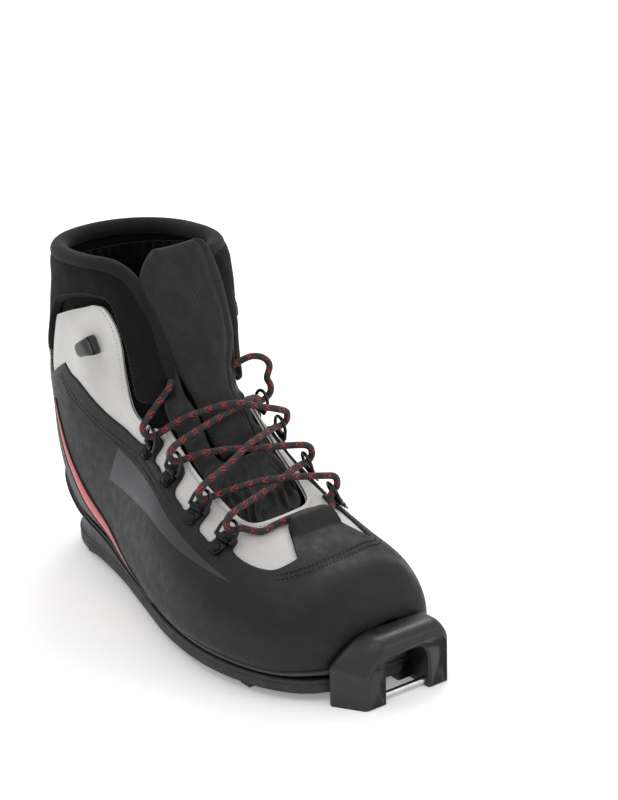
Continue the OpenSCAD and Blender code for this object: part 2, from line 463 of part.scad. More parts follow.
// Middle of the lace from one end to the other: out beside the tongue, down through the D-rings, across under
// the tab and back up, measured from the heel on a boot of the usual size.
lace_route = [
    [117, -20.5, 99], [114.5, -21, 112], [115.5, -22.5, 124.5], [119, -24.5, 133], [123.5, -27.5, 136.5], [126, -31, 134],
    [127, -44.5, 122.5], [127, -50, 116], [128.5, -49, 111.5], [130, -44.5, 110], [133.5, -40.5, 113.5], [141.5, -32, 121],
    [149.5, -17, 126], [155, -6, 127.5], [157.5, 7.5, 123], [159.5, 23.5, 117], [159, 27, 113], [158, 26, 108.5],
    [158, 21, 107], [161.5, 16, 109], [169, 2, 110.5], [175, -11.5, 110.5], [180.5, -30, 105], [184.5, -47, 101],
    [184.5, -52, 97.5], [183.5, -51.5, 92.5], [183.5, -47, 90.5], [186, -38.5, 92.5], [193.5, -18.5, 96], [199, -3, 96],
    [205.5, 17, 93.5], [207, 23.5, 91.5], [207.5, 24.5, 86.5], [207, 21.5, 83], [210, 17.5, 81], [214, 15.5, 78.5],
    [216, 11, 79], [216, -2.5, 81], [216, -22, 80], [215.5, -32.5, 78], [212, -37.5, 78.5], [209.5, -42.5, 80.5],
    [207.5, -47, 80], [207.5, -51, 83], [208, -50.5, 88], [207.5, -46, 90.5], [202, -29, 91.5], [195.5, -9.5, 92.5],
    [190, 6, 94.5], [184.5, 17.5, 93.5], [183.5, 22.5, 93.5], [183.5, 25.5, 97.5], [182.5, 24, 102], [180.5, 17, 104],
    [174, -4, 106], [169, -20.5, 108], [162.5, -36, 107.5], [157.5, -44.5, 104.5], [156, -49, 104.5], [156, -52, 108.5],
    [156, -50, 112.5], [155.5, -40.5, 116], [154, -18.5, 121], [152, -2, 124], [147.5, 10, 124], [141, 19, 120],
    [135.5, 24.5, 115.5], [134.5, 29.5, 115], [135.5, 32.5, 118.5], [136, 32.5, 123], [133.5, 32, 127], [131.5, 35.5, 132.5],
    [129, 34.5, 136.5], [127, 29.5, 139], [125, 23, 138.5], [119.5, 11.5, 131.5], [115, 1, 121], [113.5, -3, 107]];
lace_line = [for (p = lace_route) [p[0] * scale_x, p[1] * scale_y, sole_h + (p[2] - 12.6) * scale_z]];
lace_n = len(lace_line) - 1;
lace_along = [for (i = [0 : lace_n]) unit(lace_line[min(i + 1, lace_n)] - lace_line[max(i - 1, 0)])];
// Carries one sideways direction along the lace without twisting it.
function carry(i, side) = i > lace_n ? [] :
    let (next = unit(side - (side * lace_along[i]) * lace_along[i])) concat([next], carry(i + 1, next));
lace_side = carry(0, [0, 1, 0]);
module lace() {
    k = 8;
    points = [for (i = [0 : lace_n]) let (u = lace_side[i], v = cross(lace_along[i], u))
        for (j = [0 : k - 1]) lace_line[i] + lace_d / 2 * (cos(360 * j / k) * u + sin(360 * j / k) * v)];
    quads = [for (i = [0 : lace_n - 1]) for (j = [0 : k - 1]) let (a = i * k + j, b = i * k + (j + 1) % k) [a, a + k, b + k, b]];
    color(red) place() polyhedron(points, concat([[for (j = [0 : k - 1]) j]],
        [for (q = quads) each [[q[0], q[1], q[2]], [q[0], q[2], q[3]]]],
        [[for (j = [k - 1 : -1 : 0]) lace_n * k + j]]));
}
// Stands its children on an end of the lace, z pointing away from the lace.
module at_lace_end(i, away) {
    u = lace_side[i];
    w = away * lace_along[i];
    v = cross(w, u);
    p = lace_line[i];
    multmatrix([[u[0], v[0], w[0], p[0]], [u[1], v[1], w[1], p[1]], [u[2], v[2], w[2], p[2]], [0, 0, 0, 1]]) children();
}
module lace_aglets() color("#8f2a24") place() for (e = [[0, -1], [lace_n, 1]]) at_lace_end(e[0], e[1]) {
    translate([0, 0, 0.1]) cylinder(h = 15, d = lace_d - 0.2);
    translate([0, 0, 15.1]) cylinder(h = 1.4, d1 = lace_d - 0.2, d2 = lace_d - 1.6);
}

outsole();
midsole();
toe_block();
toe_bar();
rand();
heel_cup();
lasting_board();
shank();
insole();
toe_puff();
heel_counter();
inner_boot();
toe_lining();
vamp();
quarter_lateral();
quarter_medial();
throat_underlay();
ankle_panel_lateral();
ankle_panel_medial();
heel_mesh();
stripe_lateral();
stripe_medial();
collar();
gusset();
tongue_lower();
tongue_upper();
ring_plates();
ring_rivets();
ring(-1, 0);  // ring_lateral_1
ring(-1, 1);  // ring_lateral_2
ring(-1, 2);  // ring_lateral_3
ring(-1, 3);  // ring_lateral_4
ring(1, 0);  // ring_medial_1
ring(1, 1);  // ring_medial_2
ring(1, 2);  // ring_medial_3
ring(1, 3);  // ring_medial_4
hook_lateral();
hook_medial();
hook_rivets();
lace();
lace_aglets();
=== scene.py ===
# %% [markdown]
# # A cross country boot
# The boot is one skin: flat sections fan round the instep, from the toe to the rim of the collar.
# Each leather, fabric or rubber piece is a patch of that skin with a thickness of its own, so its
# place is given by two numbers: s runs from toe (0) to rim (1), and g runs round a section, from
# the front middle (0) to the low or back middle (-1 on the outer side, +1 on the inner side).

# %% Load the frame
import math

import bpy
import numpy as np
from mathutils import Matrix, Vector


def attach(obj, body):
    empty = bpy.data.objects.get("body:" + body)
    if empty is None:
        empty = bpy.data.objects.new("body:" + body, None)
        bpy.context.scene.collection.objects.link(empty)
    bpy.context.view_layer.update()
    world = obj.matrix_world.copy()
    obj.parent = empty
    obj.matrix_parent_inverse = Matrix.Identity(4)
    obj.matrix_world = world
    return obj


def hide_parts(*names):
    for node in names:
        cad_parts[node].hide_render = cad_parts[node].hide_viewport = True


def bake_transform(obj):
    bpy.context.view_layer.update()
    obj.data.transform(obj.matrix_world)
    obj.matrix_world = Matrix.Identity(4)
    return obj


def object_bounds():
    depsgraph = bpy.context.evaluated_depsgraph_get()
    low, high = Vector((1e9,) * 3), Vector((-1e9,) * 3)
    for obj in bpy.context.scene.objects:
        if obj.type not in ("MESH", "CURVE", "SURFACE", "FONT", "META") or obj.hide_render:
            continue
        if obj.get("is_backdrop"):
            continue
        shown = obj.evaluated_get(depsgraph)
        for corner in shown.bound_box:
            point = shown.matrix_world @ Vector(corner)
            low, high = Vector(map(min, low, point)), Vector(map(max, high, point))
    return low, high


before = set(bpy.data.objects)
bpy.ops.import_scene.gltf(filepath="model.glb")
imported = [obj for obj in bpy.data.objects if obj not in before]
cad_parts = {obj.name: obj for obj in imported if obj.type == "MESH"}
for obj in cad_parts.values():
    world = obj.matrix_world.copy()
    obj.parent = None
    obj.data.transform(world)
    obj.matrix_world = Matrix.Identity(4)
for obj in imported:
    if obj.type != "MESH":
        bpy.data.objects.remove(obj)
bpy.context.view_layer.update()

# %% [markdown]
# ## Camera
# A camera is a place, a direction and a lens. A long lens from about a metre and a half away keeps
# the sides of the boot nearly parallel, as in a shop's picture. Its matrix is built from the
# direction that it looks along, so no tracking constraint is needed.

# %% Camera
def camera_matrix(azimuth, elevation, roll, place):
    """Columns right, up and backward of a camera that looks along azimuth, down by elevation, then
    rolls."""
    a, e = math.radians(azimuth), math.radians(elevation)
    side = np.array([math.cos(a), math.sin(a), 0])
    ahead = np.array([-math.sin(a), math.cos(a), 0])
    up = ahead * math.sin(e) + np.array([0, 0, math.cos(e)])
    look = ahead * math.cos(e) - np.array([0, 0, math.sin(e)])
    m = np.eye(4)
    m[:3, 0] = side * math.cos(roll) + up * math.sin(roll)
    m[:3, 1] = up * math.cos(roll) - side * math.sin(roll)
    m[:3, 2] = -look
    m[:3, 3] = place
    return m


scene = bpy.context.scene
camera = bpy.data.objects.new("camera", bpy.data.cameras.new("camera"))
scene.collection.objects.link(camera)
camera.matrix_world = Matrix(camera_matrix(53.41, 21.64, -0.0276, (1.0787, -0.7345, 0.6446)).tolist())
camera.data.sensor_fit = "VERTICAL"
camera.data.sensor_height = camera.data.sensor_width = 36
camera.data.lens = 2501.4 / 800 * 36
scene.camera = camera
print("lens", round(camera.data.lens), "mm")

# %% [markdown]
# ## The skin in numbers
# The same table of sections that shapes the solids gives the places of the visible pieces. Between
# two rows of the table the values follow a smooth cubic, and each section is a superellipse with a
# flatter low half. All sizes are in millimetres and become metres when a mesh is made.

# %% Skin
STATIONS = np.array([  # s, low end x z, front end x z, middle y, outer and inner half width, share, powers
    [0.00, 281, 4, 280, 24, 2, 16, 14, 0.42, 2.6, 2.2], [0.03, 279, 2, 277, 39, 1, 36, 28, 0.38, 3.0, 2.3],
    [0.07, 270, 1, 269, 49, -1, 51, 37, 0.36, 3.4, 2.3], [0.13, 255, 0, 253, 57, -2, 62, 43, 0.34, 3.8,
                                                          2.3],
    [0.22, 230, 0, 228, 64, -3, 70, 45, 0.32, 4.0, 2.2], [0.32, 200, 0, 200, 75, -4, 72, 44, 0.30, 4.0,
                                                          2.2],
    [0.42, 163, 0, 173, 91, -4, 68, 41, 0.29, 3.8, 2.2], [0.50, 120, 1, 154, 107, -4, 59, 39, 0.31, 3.4,
                                                          2.2],
    [0.58, 73, 2, 142, 118, -3, 51, 39, 0.38, 2.8, 2.1], [0.66, 24, 5, 133, 128, -2, 48, 40, 0.46, 2.4,
                                                          2.1],
    [0.72, 0, 27, 128, 136, -2, 48, 41, 0.49, 2.2, 2.2], [0.80, -6, 69, 122, 150, -2, 50, 43, 0.50, 2.1,
                                                          2.4],
    [0.88, -5, 111, 116, 165, -2, 50, 45, 0.50, 2.1, 2.6], [0.95, 1, 152, 111, 179, -2, 46, 45, 0.50, 2.1,
                                                            2.6],
    [1.00, 0, 185, 106, 189, -2, 46, 45, 0.50, 2.1, 2.6]])
SOLE_TOP = 12.6
MIDDLE = np.array([146.0, -14.0, 0.0])


def skin(s, g):
    """The point at (s, g): a superellipse section whose values follow a Hermite cubic along s."""
    s, g = np.broadcast_arrays(np.asarray(s, float), np.asarray(g, float))
    over = np.clip(s - 1, 0, None)[..., None]
    if over.any():
        return skin(np.minimum(s, 1), g) + over * 100 * (skin(np.minimum(s, 1),
                                                              g) - skin(np.minimum(s, 1) - 0.01, g))
    x, table = STATIONS[:, 0], STATIONS[:, 1:]
    slope = np.empty_like(table)
    slope[1:-1] = (table[2:] - table[:-2]) / (x[2:] - x[:-2])[:, None]
    slope[0], slope[-1] = (table[1] - table[0]) / (x[1] - x[0]), (table[-1] - table[-2]) / (x[-1] - x[-2])
    k = np.clip(np.searchsorted(x, s, side="right") - 1, 0, len(x) - 2)
    h = (x[k + 1] - x[k])[..., None]
    t = (s - x[k])[..., None] / h
    q = ((2 * t**3 - 3 * t**2 + 1) * table[k] + (t**3 - 2 * t**2 + t) * h * slope[k]
         + (3 * t**2 - 2 * t**3) * table[k + 1] + (t**3 - t**2) * h * slope[k + 1])
    w = np.where(g > 1, g - 2, np.where(g < -1, g + 2, g))
    a = np.pi * (1 - np.abs(w))
    c, low = np.abs(np.cos(a)), a < np.pi / 2
    power = np.where(low, 2 / q[..., 8], 2 / q[..., 9])
    v = np.where(low, q[..., 7] * (1 - c**power), q[..., 7] + (1 - q[..., 7]) * c**power)
    y = np.where(w < 0, q[..., 5], q[..., 6]) * np.abs(np.sin(a)) ** power
    return np.stack([q[..., 0] + (q[..., 2] - q[..., 0]) * v, q[..., 4] + np.where(w < 0, -1, 1) * y,
                     SOLE_TOP + q[..., 1] + (q[..., 3] - q[..., 1]) * v], -1) - MIDDLE


def outward(s, g):
    """Unit normal of the skin, the cross product of a small step round it and a small step along it."""
    s, g = np.broadcast_arrays(np.asarray(s, float), np.asarray(g, float))
    w = np.where(g > 1, g - 2, np.where(g < -1, g + 2, g))
    w = np.where(np.abs(w) < 0.004, 0.004, np.where(np.abs(w) > 0.996, np.sign(w) * 0.996, w))
    t, d = np.clip(s, 0.002, 0.998), 0.002
    n = np.cross(skin(t, w + d) - skin(t, w - d), skin(t + d, w) - skin(t - d, w))
    return n / np.linalg.norm(n, axis=-1, keepdims=True)


def above(s, g, height):
    """The point at a height over the skin, along its normal."""
    return skin(s, g) + np.asarray(height, float)[..., None] * outward(s, g)


def smooth_line(points, steps=8):
    """A Catmull-Rom line through the points: each stretch is a cubic with the neighbours' slopes."""
    p = np.asarray(points, float)
    q = np.concatenate([2 * p[:1] - p[1:2], p, 2 * p[-1:] - p[-2:-1]])
    t = (np.arange(steps) / steps)[None, :, None]
    a, b, c, d = q[:-3, None], q[1:-2, None], q[2:-1, None], q[3:, None]
    line = 0.5 * (2 * b + (c - a) * t + (2 * a - 5 * b + 4 * c - d) * t**2 + (3 * b - a - 3 * c + d) * t**3)
    return np.concatenate([line.reshape(-1, p.shape[1]), p[-1:]])


print("skin from", skin(0, 0).round(), "to", skin(1, 1).round())

# %% [markdown]
# ## Meshes from arrays
# `from_pydata` wants lists of points and faces. A grid's faces are index arithmetic, so a whole
# piece is made at once. A UV map in millimetres travels with each piece, for weaves and ribs.

# %% Mesh helpers
def mesh_piece(name, points, faces, uv=None, flat=False):
    """A mesh object of points in millimetres; uv holds one pair for each point."""
    mesh = bpy.data.meshes.new(name)
    faces = faces.tolist() if isinstance(faces, np.ndarray) else faces
    mesh.from_pydata((np.asarray(points, float).reshape(-1, 3) / 1000).tolist(), [], faces)
    if uv is not None:
        layer = mesh.uv_layers.new(name="cloth")
        loops = np.empty(len(mesh.loops), int)
        mesh.loops.foreach_get("vertex_index", loops)
        layer.data.foreach_set("uv", np.asarray(uv, np.float32)[loops].ravel())
    mesh.validate()
    mesh.shade_flat() if flat else mesh.shade_smooth()
    piece = bpy.data.objects.new(name, mesh)
    scene.collection.objects.link(piece)
    return piece


def grid_faces(n, m, close_n=False, close_m=False, first=0):
    """Quads of an n by m grid of points, joined round where close_n or close_m says so."""
    i, j = np.meshgrid(np.arange(n if close_n else n - 1), np.arange(m if close_m else m - 1),
                       indexing="ij")
    a, b = i * m + j, ((i + 1) % n) * m + j
    c, d = ((i + 1) % n) * m + (j + 1) % m, i * m + (j + 1) % m
    return np.stack([a, b, c, d], -1).reshape(-1, 4) + first


def two_sided(n, m):
    """Faces of two n by m grids of points, one under the other, with a wall between their rims."""
    count = n * m
    loop = np.concatenate([np.arange(m), np.arange(1, n) * m + m - 1,
                           (n - 1) * m + np.arange(m - 2, -1, -1), np.arange(n - 2, 0, -1) * m])
    following = np.roll(loop, -1)
    return np.concatenate([grid_faces(n, m), grid_faces(n, m, first=count)[:, ::-1],
                           np.stack([following, loop, loop + count, following + count], -1)])


def arc_length(line):
    """How far along a line of points each point is, from 0."""
    return np.concatenate([[0], np.cumsum(np.linalg.norm(np.diff(line, axis=0), axis=1))])


def ripple(points, size, seed):
    """Soft noise from -1 to 1: the mean of eight sine waves with drawn directions, about size mm long."""
    draw = np.random.default_rng(seed)
    waves = draw.normal(size=(8, 3))
    waves *= (2 * np.pi / size / draw.uniform(0.7, 1.6, 8) / np.linalg.norm(waves, axis=1))[:, None]
    return np.sin(points @ waves.T + draw.uniform(0, 6.28, 8)).mean(-1) * 1.6


EDGE_STEPS = np.array([0, 0.12, 0.35, 0.7, 1.15, 1.7])  # mm from a rim, where its round edge has points
NARROWEST = 0.8  # mm; a patch that comes to a point is taken to be this wide there


def slab(name, edge_a, edge_b, low, high, cells=(120, 40), round_r=0.9, shape=None, under=None,
         steps=EDGE_STEPS):
    """A closed patch of the skin between two lines of (s, g), with rounded rims.

    Its upper face is at height high less a quarter circle of round_r near every rim, plus
    shape(s, g, rim distance, points, u, v); its lower face is at low plus under(...)."""
    a, b = np.asarray(edge_a, float), np.asarray(edge_b, float)
    length = np.linalg.norm(np.diff(above(*((a + b) / 2).T, high), axis=0), axis=1).sum()
    last = steps[-1] / length
    u = np.concatenate([steps / length, np.linspace(last, 1 - last, cells[0])[1:-1],
                        1 - steps[::-1] / length])
    k = np.arange(len(a)) / (len(a) - 1)
    along = lambda e: np.stack([np.interp(u, k, e[:, 0]), np.interp(u, k, e[:, 1])], -1)
    a, b = along(a), along(b)
    width = np.linalg.norm(above(*b.T, high) - above(*a.T, high), axis=1)
    width = np.maximum(width, NARROWEST)
    near = np.minimum(steps[None] / width[:, None], 0.5 * steps / steps[-1] * 0.9)
    inner = near[:, -1:] + (1 - 2 * near[:, -1:]) * np.linspace(0, 1, cells[1])[None, 1:-1]
    v = np.concatenate([near, inner, 1 - near[:, ::-1]], 1)
    s, g = (a[:, None, c] + (b - a)[:, None, c] * v for c in (0, 1))
    rim = np.minimum(np.minimum(v, 1 - v) * width[:, None], np.minimum(u, 1 - u)[:, None] * length)
    fall = round_r * (1 - np.sqrt(np.clip(1 - (1 - np.clip(rim / round_r, 0, 1)) ** 2, 0, 1)))
    top_h = high - fall
    base = skin(s, g)
    uu = np.broadcast_to(u[:, None], v.shape)
    if shape is not None:
        top_h = top_h + shape(s, g, rim, base, uu, v)
    low_h = np.full(v.shape, float(low)) + (0 if under is None else under(s, g, rim, base, uu, v))
    top, bottom = above(s, g, top_h), above(s, g, low_h)
    n, m = v.shape
    count = n * m
    faces = two_sided(n, m)
    i, j = n // 2, m // 2
    turn = np.cross(base[i + 1, j] - base[i, j], base[i, j + 1] - base[i, j])
    if turn @ outward(s[i, j], g[i, j]) < 0:
        faces = faces[:, ::-1]
    uv = np.stack([uu * length, (v - 0.5) * width[:, None]], -1).reshape(-1, 2)
    piece = mesh_piece(name, np.concatenate([top, bottom]), faces, np.concatenate([uv, uv]))
    print(name, len(faces), "faces", round(length), "x", round(width.mean()), "mm")
    return piece

# %% [markdown]
# ## Lace
# A shoe lace is a round braid of polyester, 4 mm thick, here dark grey with short red flecks. It is a
# tube swept along its route. The sideways direction is carried from ring to ring without twisting,
# so the braid, which reads the tube's own UV map, runs evenly along it.

# %% Lace
LACE = np.array([
    [-29, -6.5, 99], [-31.5, -7, 112], [-30.5, -8.5, 124.5], [-27, -10.5, 133], [-22.5, -13.5, 136.5],
    [-20, -17, 134], [-19, -30.5, 122.5], [-19, -36, 116], [-17.5, -35, 111.5], [-16, -30.5, 110],
    [-12.5, -26.5, 113.5], [-4.5, -18, 121], [3.5, -3, 126], [9, 8, 127.5], [11.5, 21.5, 123],
    [13.5, 37.5, 117], [13, 41, 113], [12, 40, 108.5], [12, 35, 107], [15.5, 30, 109], [23, 16, 110.5],
    [29, 2.5, 110.5], [34.5, -16, 105], [38.5, -33, 101], [38.5, -38, 97.5], [37.5, -37.5, 92.5],
    [37.5, -33, 90.5], [40, -24.5, 92.5], [47.5, -4.5, 96], [53, 11, 96], [59.5, 31, 93.5],
    [61, 37.5, 91.5], [61.5, 38.5, 86.5], [61, 35.5, 83], [64, 31.5, 81], [68, 29.5, 78.5], [70, 25, 79],
    [70, 11.5, 81], [70, -8, 80], [69.5, -18.5, 78], [66, -23.5, 78.5], [63.5, -28.5, 80.5],
    [61.5, -33, 80], [61.5, -37, 83], [62, -36.5, 88], [61.5, -32, 90.5], [56, -15, 91.5],
    [49.5, 4.5, 92.5], [44, 20, 94.5], [38.5, 31.5, 93.5], [37.5, 36.5, 93.5], [37.5, 39.5, 97.5],
    [36.5, 38, 102], [34.5, 31, 104], [28, 10, 106], [23, -6.5, 108], [16.5, -22, 107.5],
    [11.5, -30.5, 104.5], [10, -35, 104.5], [10, -38, 108.5], [10, -36, 112.5], [9.5, -26.5, 116],
    [8, -4.5, 121], [6, 12, 124], [1.5, 24, 124], [-5, 33, 120], [-10.5, 38.5, 115.5], [-11.5, 43.5, 115],
    [-10.5, 46.5, 118.5], [-10, 46.5, 123], [-12.5, 46, 127], [-14.5, 49.5, 132.5], [-17, 48.5, 136.5],
    [-19, 43.5, 139], [-21, 37, 138.5], [-26.5, 25.5, 131.5], [-31, 15, 121], [-32.5, 11, 107]])
LACE_D = 4.0


def frames_along(line, first=(0, 1, 0)):
    """Two sideways directions that are carried along the line without twisting."""
    t = np.gradient(line, axis=0)
    t /= np.linalg.norm(t, axis=1, keepdims=True)
    side = [np.asarray(first, float)]
    for direction in t:
        n = side[-1] - (side[-1] @ direction) * direction
        side.append(n / np.linalg.norm(n))
    side = np.array(side[1:])
    return side, np.cross(t, side)


def capped(n, m, turned=False):
    """Faces of n rings of m points with a flat cap at each end."""
    sides = grid_faces(n, m, close_m=True)
    caps = [np.arange(m), (n - 1) * m + np.arange(m)[::-1]]
    if turned:
        return sides.tolist() + [cap[::-1].tolist() for cap in caps]
    return sides[:, ::-1].tolist() + [cap.tolist() for cap in caps]


def tube(name, line, radius, sides=16, first=(0, 1, 0)):
    """A tube: circles of a radius (one number or one for each point) carried along a line, with rounded
    ends. Its UV map is mm along it, and 1 to 0 to 1 round it."""
    line = np.asarray(line, float)
    x, y = frames_along(line, first)
    r = np.broadcast_to(np.asarray(radius, float), len(line))
    turn = np.sin(np.linspace(0.15, np.pi / 2, 4))
    line, x, y, arc = (np.concatenate([np.repeat(q[:1], 4, 0), q[1:-1], np.repeat(q[-1:], 4, 0)])
                       for q in (line, x, y, arc_length(line)))
    r = np.concatenate([r[0] * turn, r[1:-1], r[-1] * turn[::-1]])
    a = np.linspace(0, 2 * np.pi, sides, endpoint=False)
    ring = x[:, None] * np.cos(a)[None, :, None] + y[:, None] * np.sin(a)[None, :, None]
    points = line[:, None] + r[:, None, None] * ring
    around = np.abs(np.arange(sides) / sides * 2 - 1)
    uv = np.stack(np.broadcast_arrays(arc[:, None], around[None]), -1).reshape(-1, 2)
    return mesh_piece(name, points, capped(len(line), sides), uv)


lace_line = smooth_line(LACE, 6)
lace = tube("lace_braid", lace_line, LACE_D / 2 - 0.05, 18)
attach(lace, "boot")
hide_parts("lace")


def aglet(line):
    """The film over a lace's end: 16 mm on from the end, with a crimped waist and a domed tip."""
    way = (line[0] - line[1]) / np.linalg.norm(line[0] - line[1])
    x = np.array([-2, -1.9, 0, 1.5, 5, 9, 13, 15, 15.8, 16.2])
    r = np.array([2.02, 2.1, 2.1, 1.95, 1.85, 1.85, 1.9, 1.8, 1.4, 0.6])
    return line[0] + x[:, None] * way, r


aglets = [tube("aglet_" + word, *aglet(end), 20)
          for word, end in (("outer", LACE), ("inner", LACE[::-1]))]
for piece in aglets:
    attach(piece, "boot")
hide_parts("lace_aglets")

# %% [markdown]
# ## Stitches
# A stitch is a short thread that dips into the leather at both ends. One small capsule of a few faces
# is copied along a seam by array arithmetic, turned to the seam's direction and the skin's normal.

# %% Stitches
def stitches(name, seam, height, pitch=2.5, size=(2.0, 0.62, 0.5)):
    """Capsules every pitch mm along a line of (s, g), at a height over the skin."""
    seam = np.asarray(seam, float)
    p = above(*seam.T, height)
    arc = arc_length(p)
    at = np.arange(pitch / 2, arc[-1], pitch)
    read = lambda where, table: np.stack([np.interp(where, arc, column) for column in table.T], -1)
    spot, n = read(at, p), outward(*read(at, seam).T)
    t = read(at + 0.5, p) - read(at - 0.5, p)
    t -= (t * n).sum(-1, keepdims=True) * n
    t /= np.linalg.norm(t, axis=-1, keepdims=True)
    b = np.cross(n, t)
    x = np.array([-0.5, -0.42, -0.15, 0.15, 0.42, 0.5])
    r = np.array([0.25, 0.75, 1, 1, 0.75, 0.25])
    dip = np.array([-0.9, -0.4, 0, 0, -0.4, -0.9])
    a = np.linspace(0, 2 * np.pi, 6, endpoint=False)
    local = np.stack([np.repeat(x[:, None], 6, 1) * size[0], r[:, None] * np.cos(a) * size[1] / 2,
                      r[:, None] * np.sin(a) * size[2] / 2 + dip[:, None] * size[2] * 0.6],
                      -1).reshape(-1, 3)
    points = spot[:, None] + (local[None, :, 0:1] * t[:, None] + local[None, :, 1:2] * b[:, None]
                              + local[None, :, 2:3] * n[:, None])
    faces = [[v + 36 * k for v in f] for k in range(len(at)) for f in capped(6, 6)]
    print(name, len(at), "stitches")
    return mesh_piece(name, points, faces)


def seam_between(edge_a, edge_b, distance, start=0.0, end=1.0, steps=400):
    """The line of (s, g) that runs a number of mm inside edge_a, towards edge_b."""
    a, b = np.asarray(edge_a, float), np.asarray(edge_b, float)
    k, u = np.arange(len(a)) / (len(a) - 1), np.linspace(start, end, steps)
    a, b = (np.stack([np.interp(u, k, e[:, 0]), np.interp(u, k, e[:, 1])], -1) for e in (a, b))
    width = np.linalg.norm(skin(*b.T) - skin(*a.T), axis=1)
    return a + (b - a) * (distance / width)[:, None]


def mirrored(line):
    """The same line on the inner side: g changes its sign."""
    return [[p[0], -p[1]] for p in line]


def round_back(line):
    """A line on the outer side, carried on round the back of the heel to the inner side."""
    return [list(p) for p in line] + [[p[0], -2 - p[1]] for p in line[-2::-1]]

# %% [markdown]
# ## Finishes
# Every finish starts from the real one: polyurethane-coated microfibre, moulded rubber, woven
# polyester, knitted mesh, fleece, bright steel. A principled shader takes its colour from slow noise
# between two near shades, and a bump from a pattern whose scale is a real size in millimetres.

# %% Finish helpers
def colour(code):
    """An sRGB hex value as linear red, green, blue and alpha."""
    c = np.array([int(code[i:i + 2], 16) for i in (1, 3, 5)]) / 255
    return (*np.where(c <= 0.04045, c / 12.92, ((c + 0.055) / 1.055) ** 2.4), 1.0)


def add(tree, kind, inputs=(), **settings):
    """A node with its settings; inputs maps a socket's name or number to a value or to another node."""
    made = tree.nodes.new(kind)
    for key, value in settings.items():
        setattr(made, key, value)
    for key, value in dict(inputs).items():
        if isinstance(value, bpy.types.Node):
            value = value.outputs[0]
        if isinstance(value, bpy.types.NodeSocket):
            tree.links.new(value, made.inputs[key])
        else:
            made.inputs[key].default_value = value
    return made


def leather_grain(tree, place, cloth):
    """Embossed pebbles about 1.1 mm across with fine pores between them."""
    cells = add(tree, "ShaderNodeTexVoronoi", {"Vector": place, "Scale": 1000 / 1.1},
                feature="DISTANCE_TO_EDGE")
    soft = add(tree, "ShaderNodeMapRange", {"Value": cells, "From Max": 0.25})
    pores = add(tree, "ShaderNodeTexNoise", {"Vector": place, "Scale": 1000 / 0.5, "Detail": 3.0})
    return add(tree, "ShaderNodeMath", {0: soft, 1: pores}, operation="MULTIPLY")


def fine_skin(tree, place, cloth):
    """The spark-eroded surface of a mould: even grains about 0.7 mm across."""
    return add(tree, "ShaderNodeTexNoise", {"Vector": place, "Scale": 1000 / 0.7, "Detail": 4.0,
                                            "Roughness": 0.6})


def sine_of(tree, value, period, phase=0.0):
    """sin(2 pi value / period + phase), from 0 to 1."""
    turn = add(tree, "ShaderNodeMath", {0: value, 1: 2 * math.pi / period, 2: phase},
               operation="MULTIPLY_ADD")
    wave = add(tree, "ShaderNodeMath", {0: turn}, operation="SINE")
    return add(tree, "ShaderNodeMath", {0: wave, 1: 0.5, 2: 0.5}, operation="MULTIPLY_ADD")


def plain_weave(tree, place, cloth, thread=0.8):
    """Plain weave: warp and weft threads that pass over and under in turn, drawn 0.8 mm apart so it
    shows."""
    warp = sine_of(tree, cloth.outputs[0], 2 * thread)
    weft = sine_of(tree, cloth.outputs[1], 2 * thread)
    product = add(tree, "ShaderNodeMath", {0: warp, 1: weft}, operation="MULTIPLY")
    other = add(tree, "ShaderNodeMath", {0: add(tree, "ShaderNodeMath", {0: 1.0, 1: warp},
                                                operation="SUBTRACT"),
                                         1: add(tree, "ShaderNodeMath", {0: 1.0, 1: weft},
                                                operation="SUBTRACT")},
                operation="MULTIPLY")
    return add(tree, "ShaderNodeMath", {0: product, 1: other}, operation="ADD")


def ribbed_knit(tree, place, cloth):
    """Warp-knitted ribs 2.4 mm apart with small loops 1.1 mm apart along them."""
    ribs = sine_of(tree, cloth.outputs[0], 2.4)
    loops = sine_of(tree, cloth.outputs[1], 1.1)
    return add(tree, "ShaderNodeMath", {0: loops, 1: 0.45, 2: ribs}, operation="MULTIPLY_ADD")


def pile(tree, place, cloth):
    """Brushed pile: tufts about 1.5 mm across over finer fuzz."""
    tufts = add(tree, "ShaderNodeTexNoise", {"Vector": place, "Scale": 1000 / 1.5, "Detail": 6.0,
                                             "Roughness": 0.75})
    return tufts


def braid(tree, place, cloth):
    """Strands that run round a cord in a spiral, 1.1 mm apart along it."""
    slope = add(tree, "ShaderNodeMath", {0: cloth.outputs[1], 1: 1.6, 2: cloth.outputs[0]},
                operation="MULTIPLY_ADD")
    return sine_of(tree, slope, 1.1)


def drawn_wire(tree, place, cloth):
    """Fine drawing lines along a wire or a sheet, about 0.3 mm apart."""
    stretched = add(tree, "ShaderNodeMapping", {"Vector": place, "Scale": (600.0, 3000.0, 3000.0)})
    return add(tree, "ShaderNodeTexNoise", {"Vector": stretched, "Scale": 1.0, "Detail": 2.0})


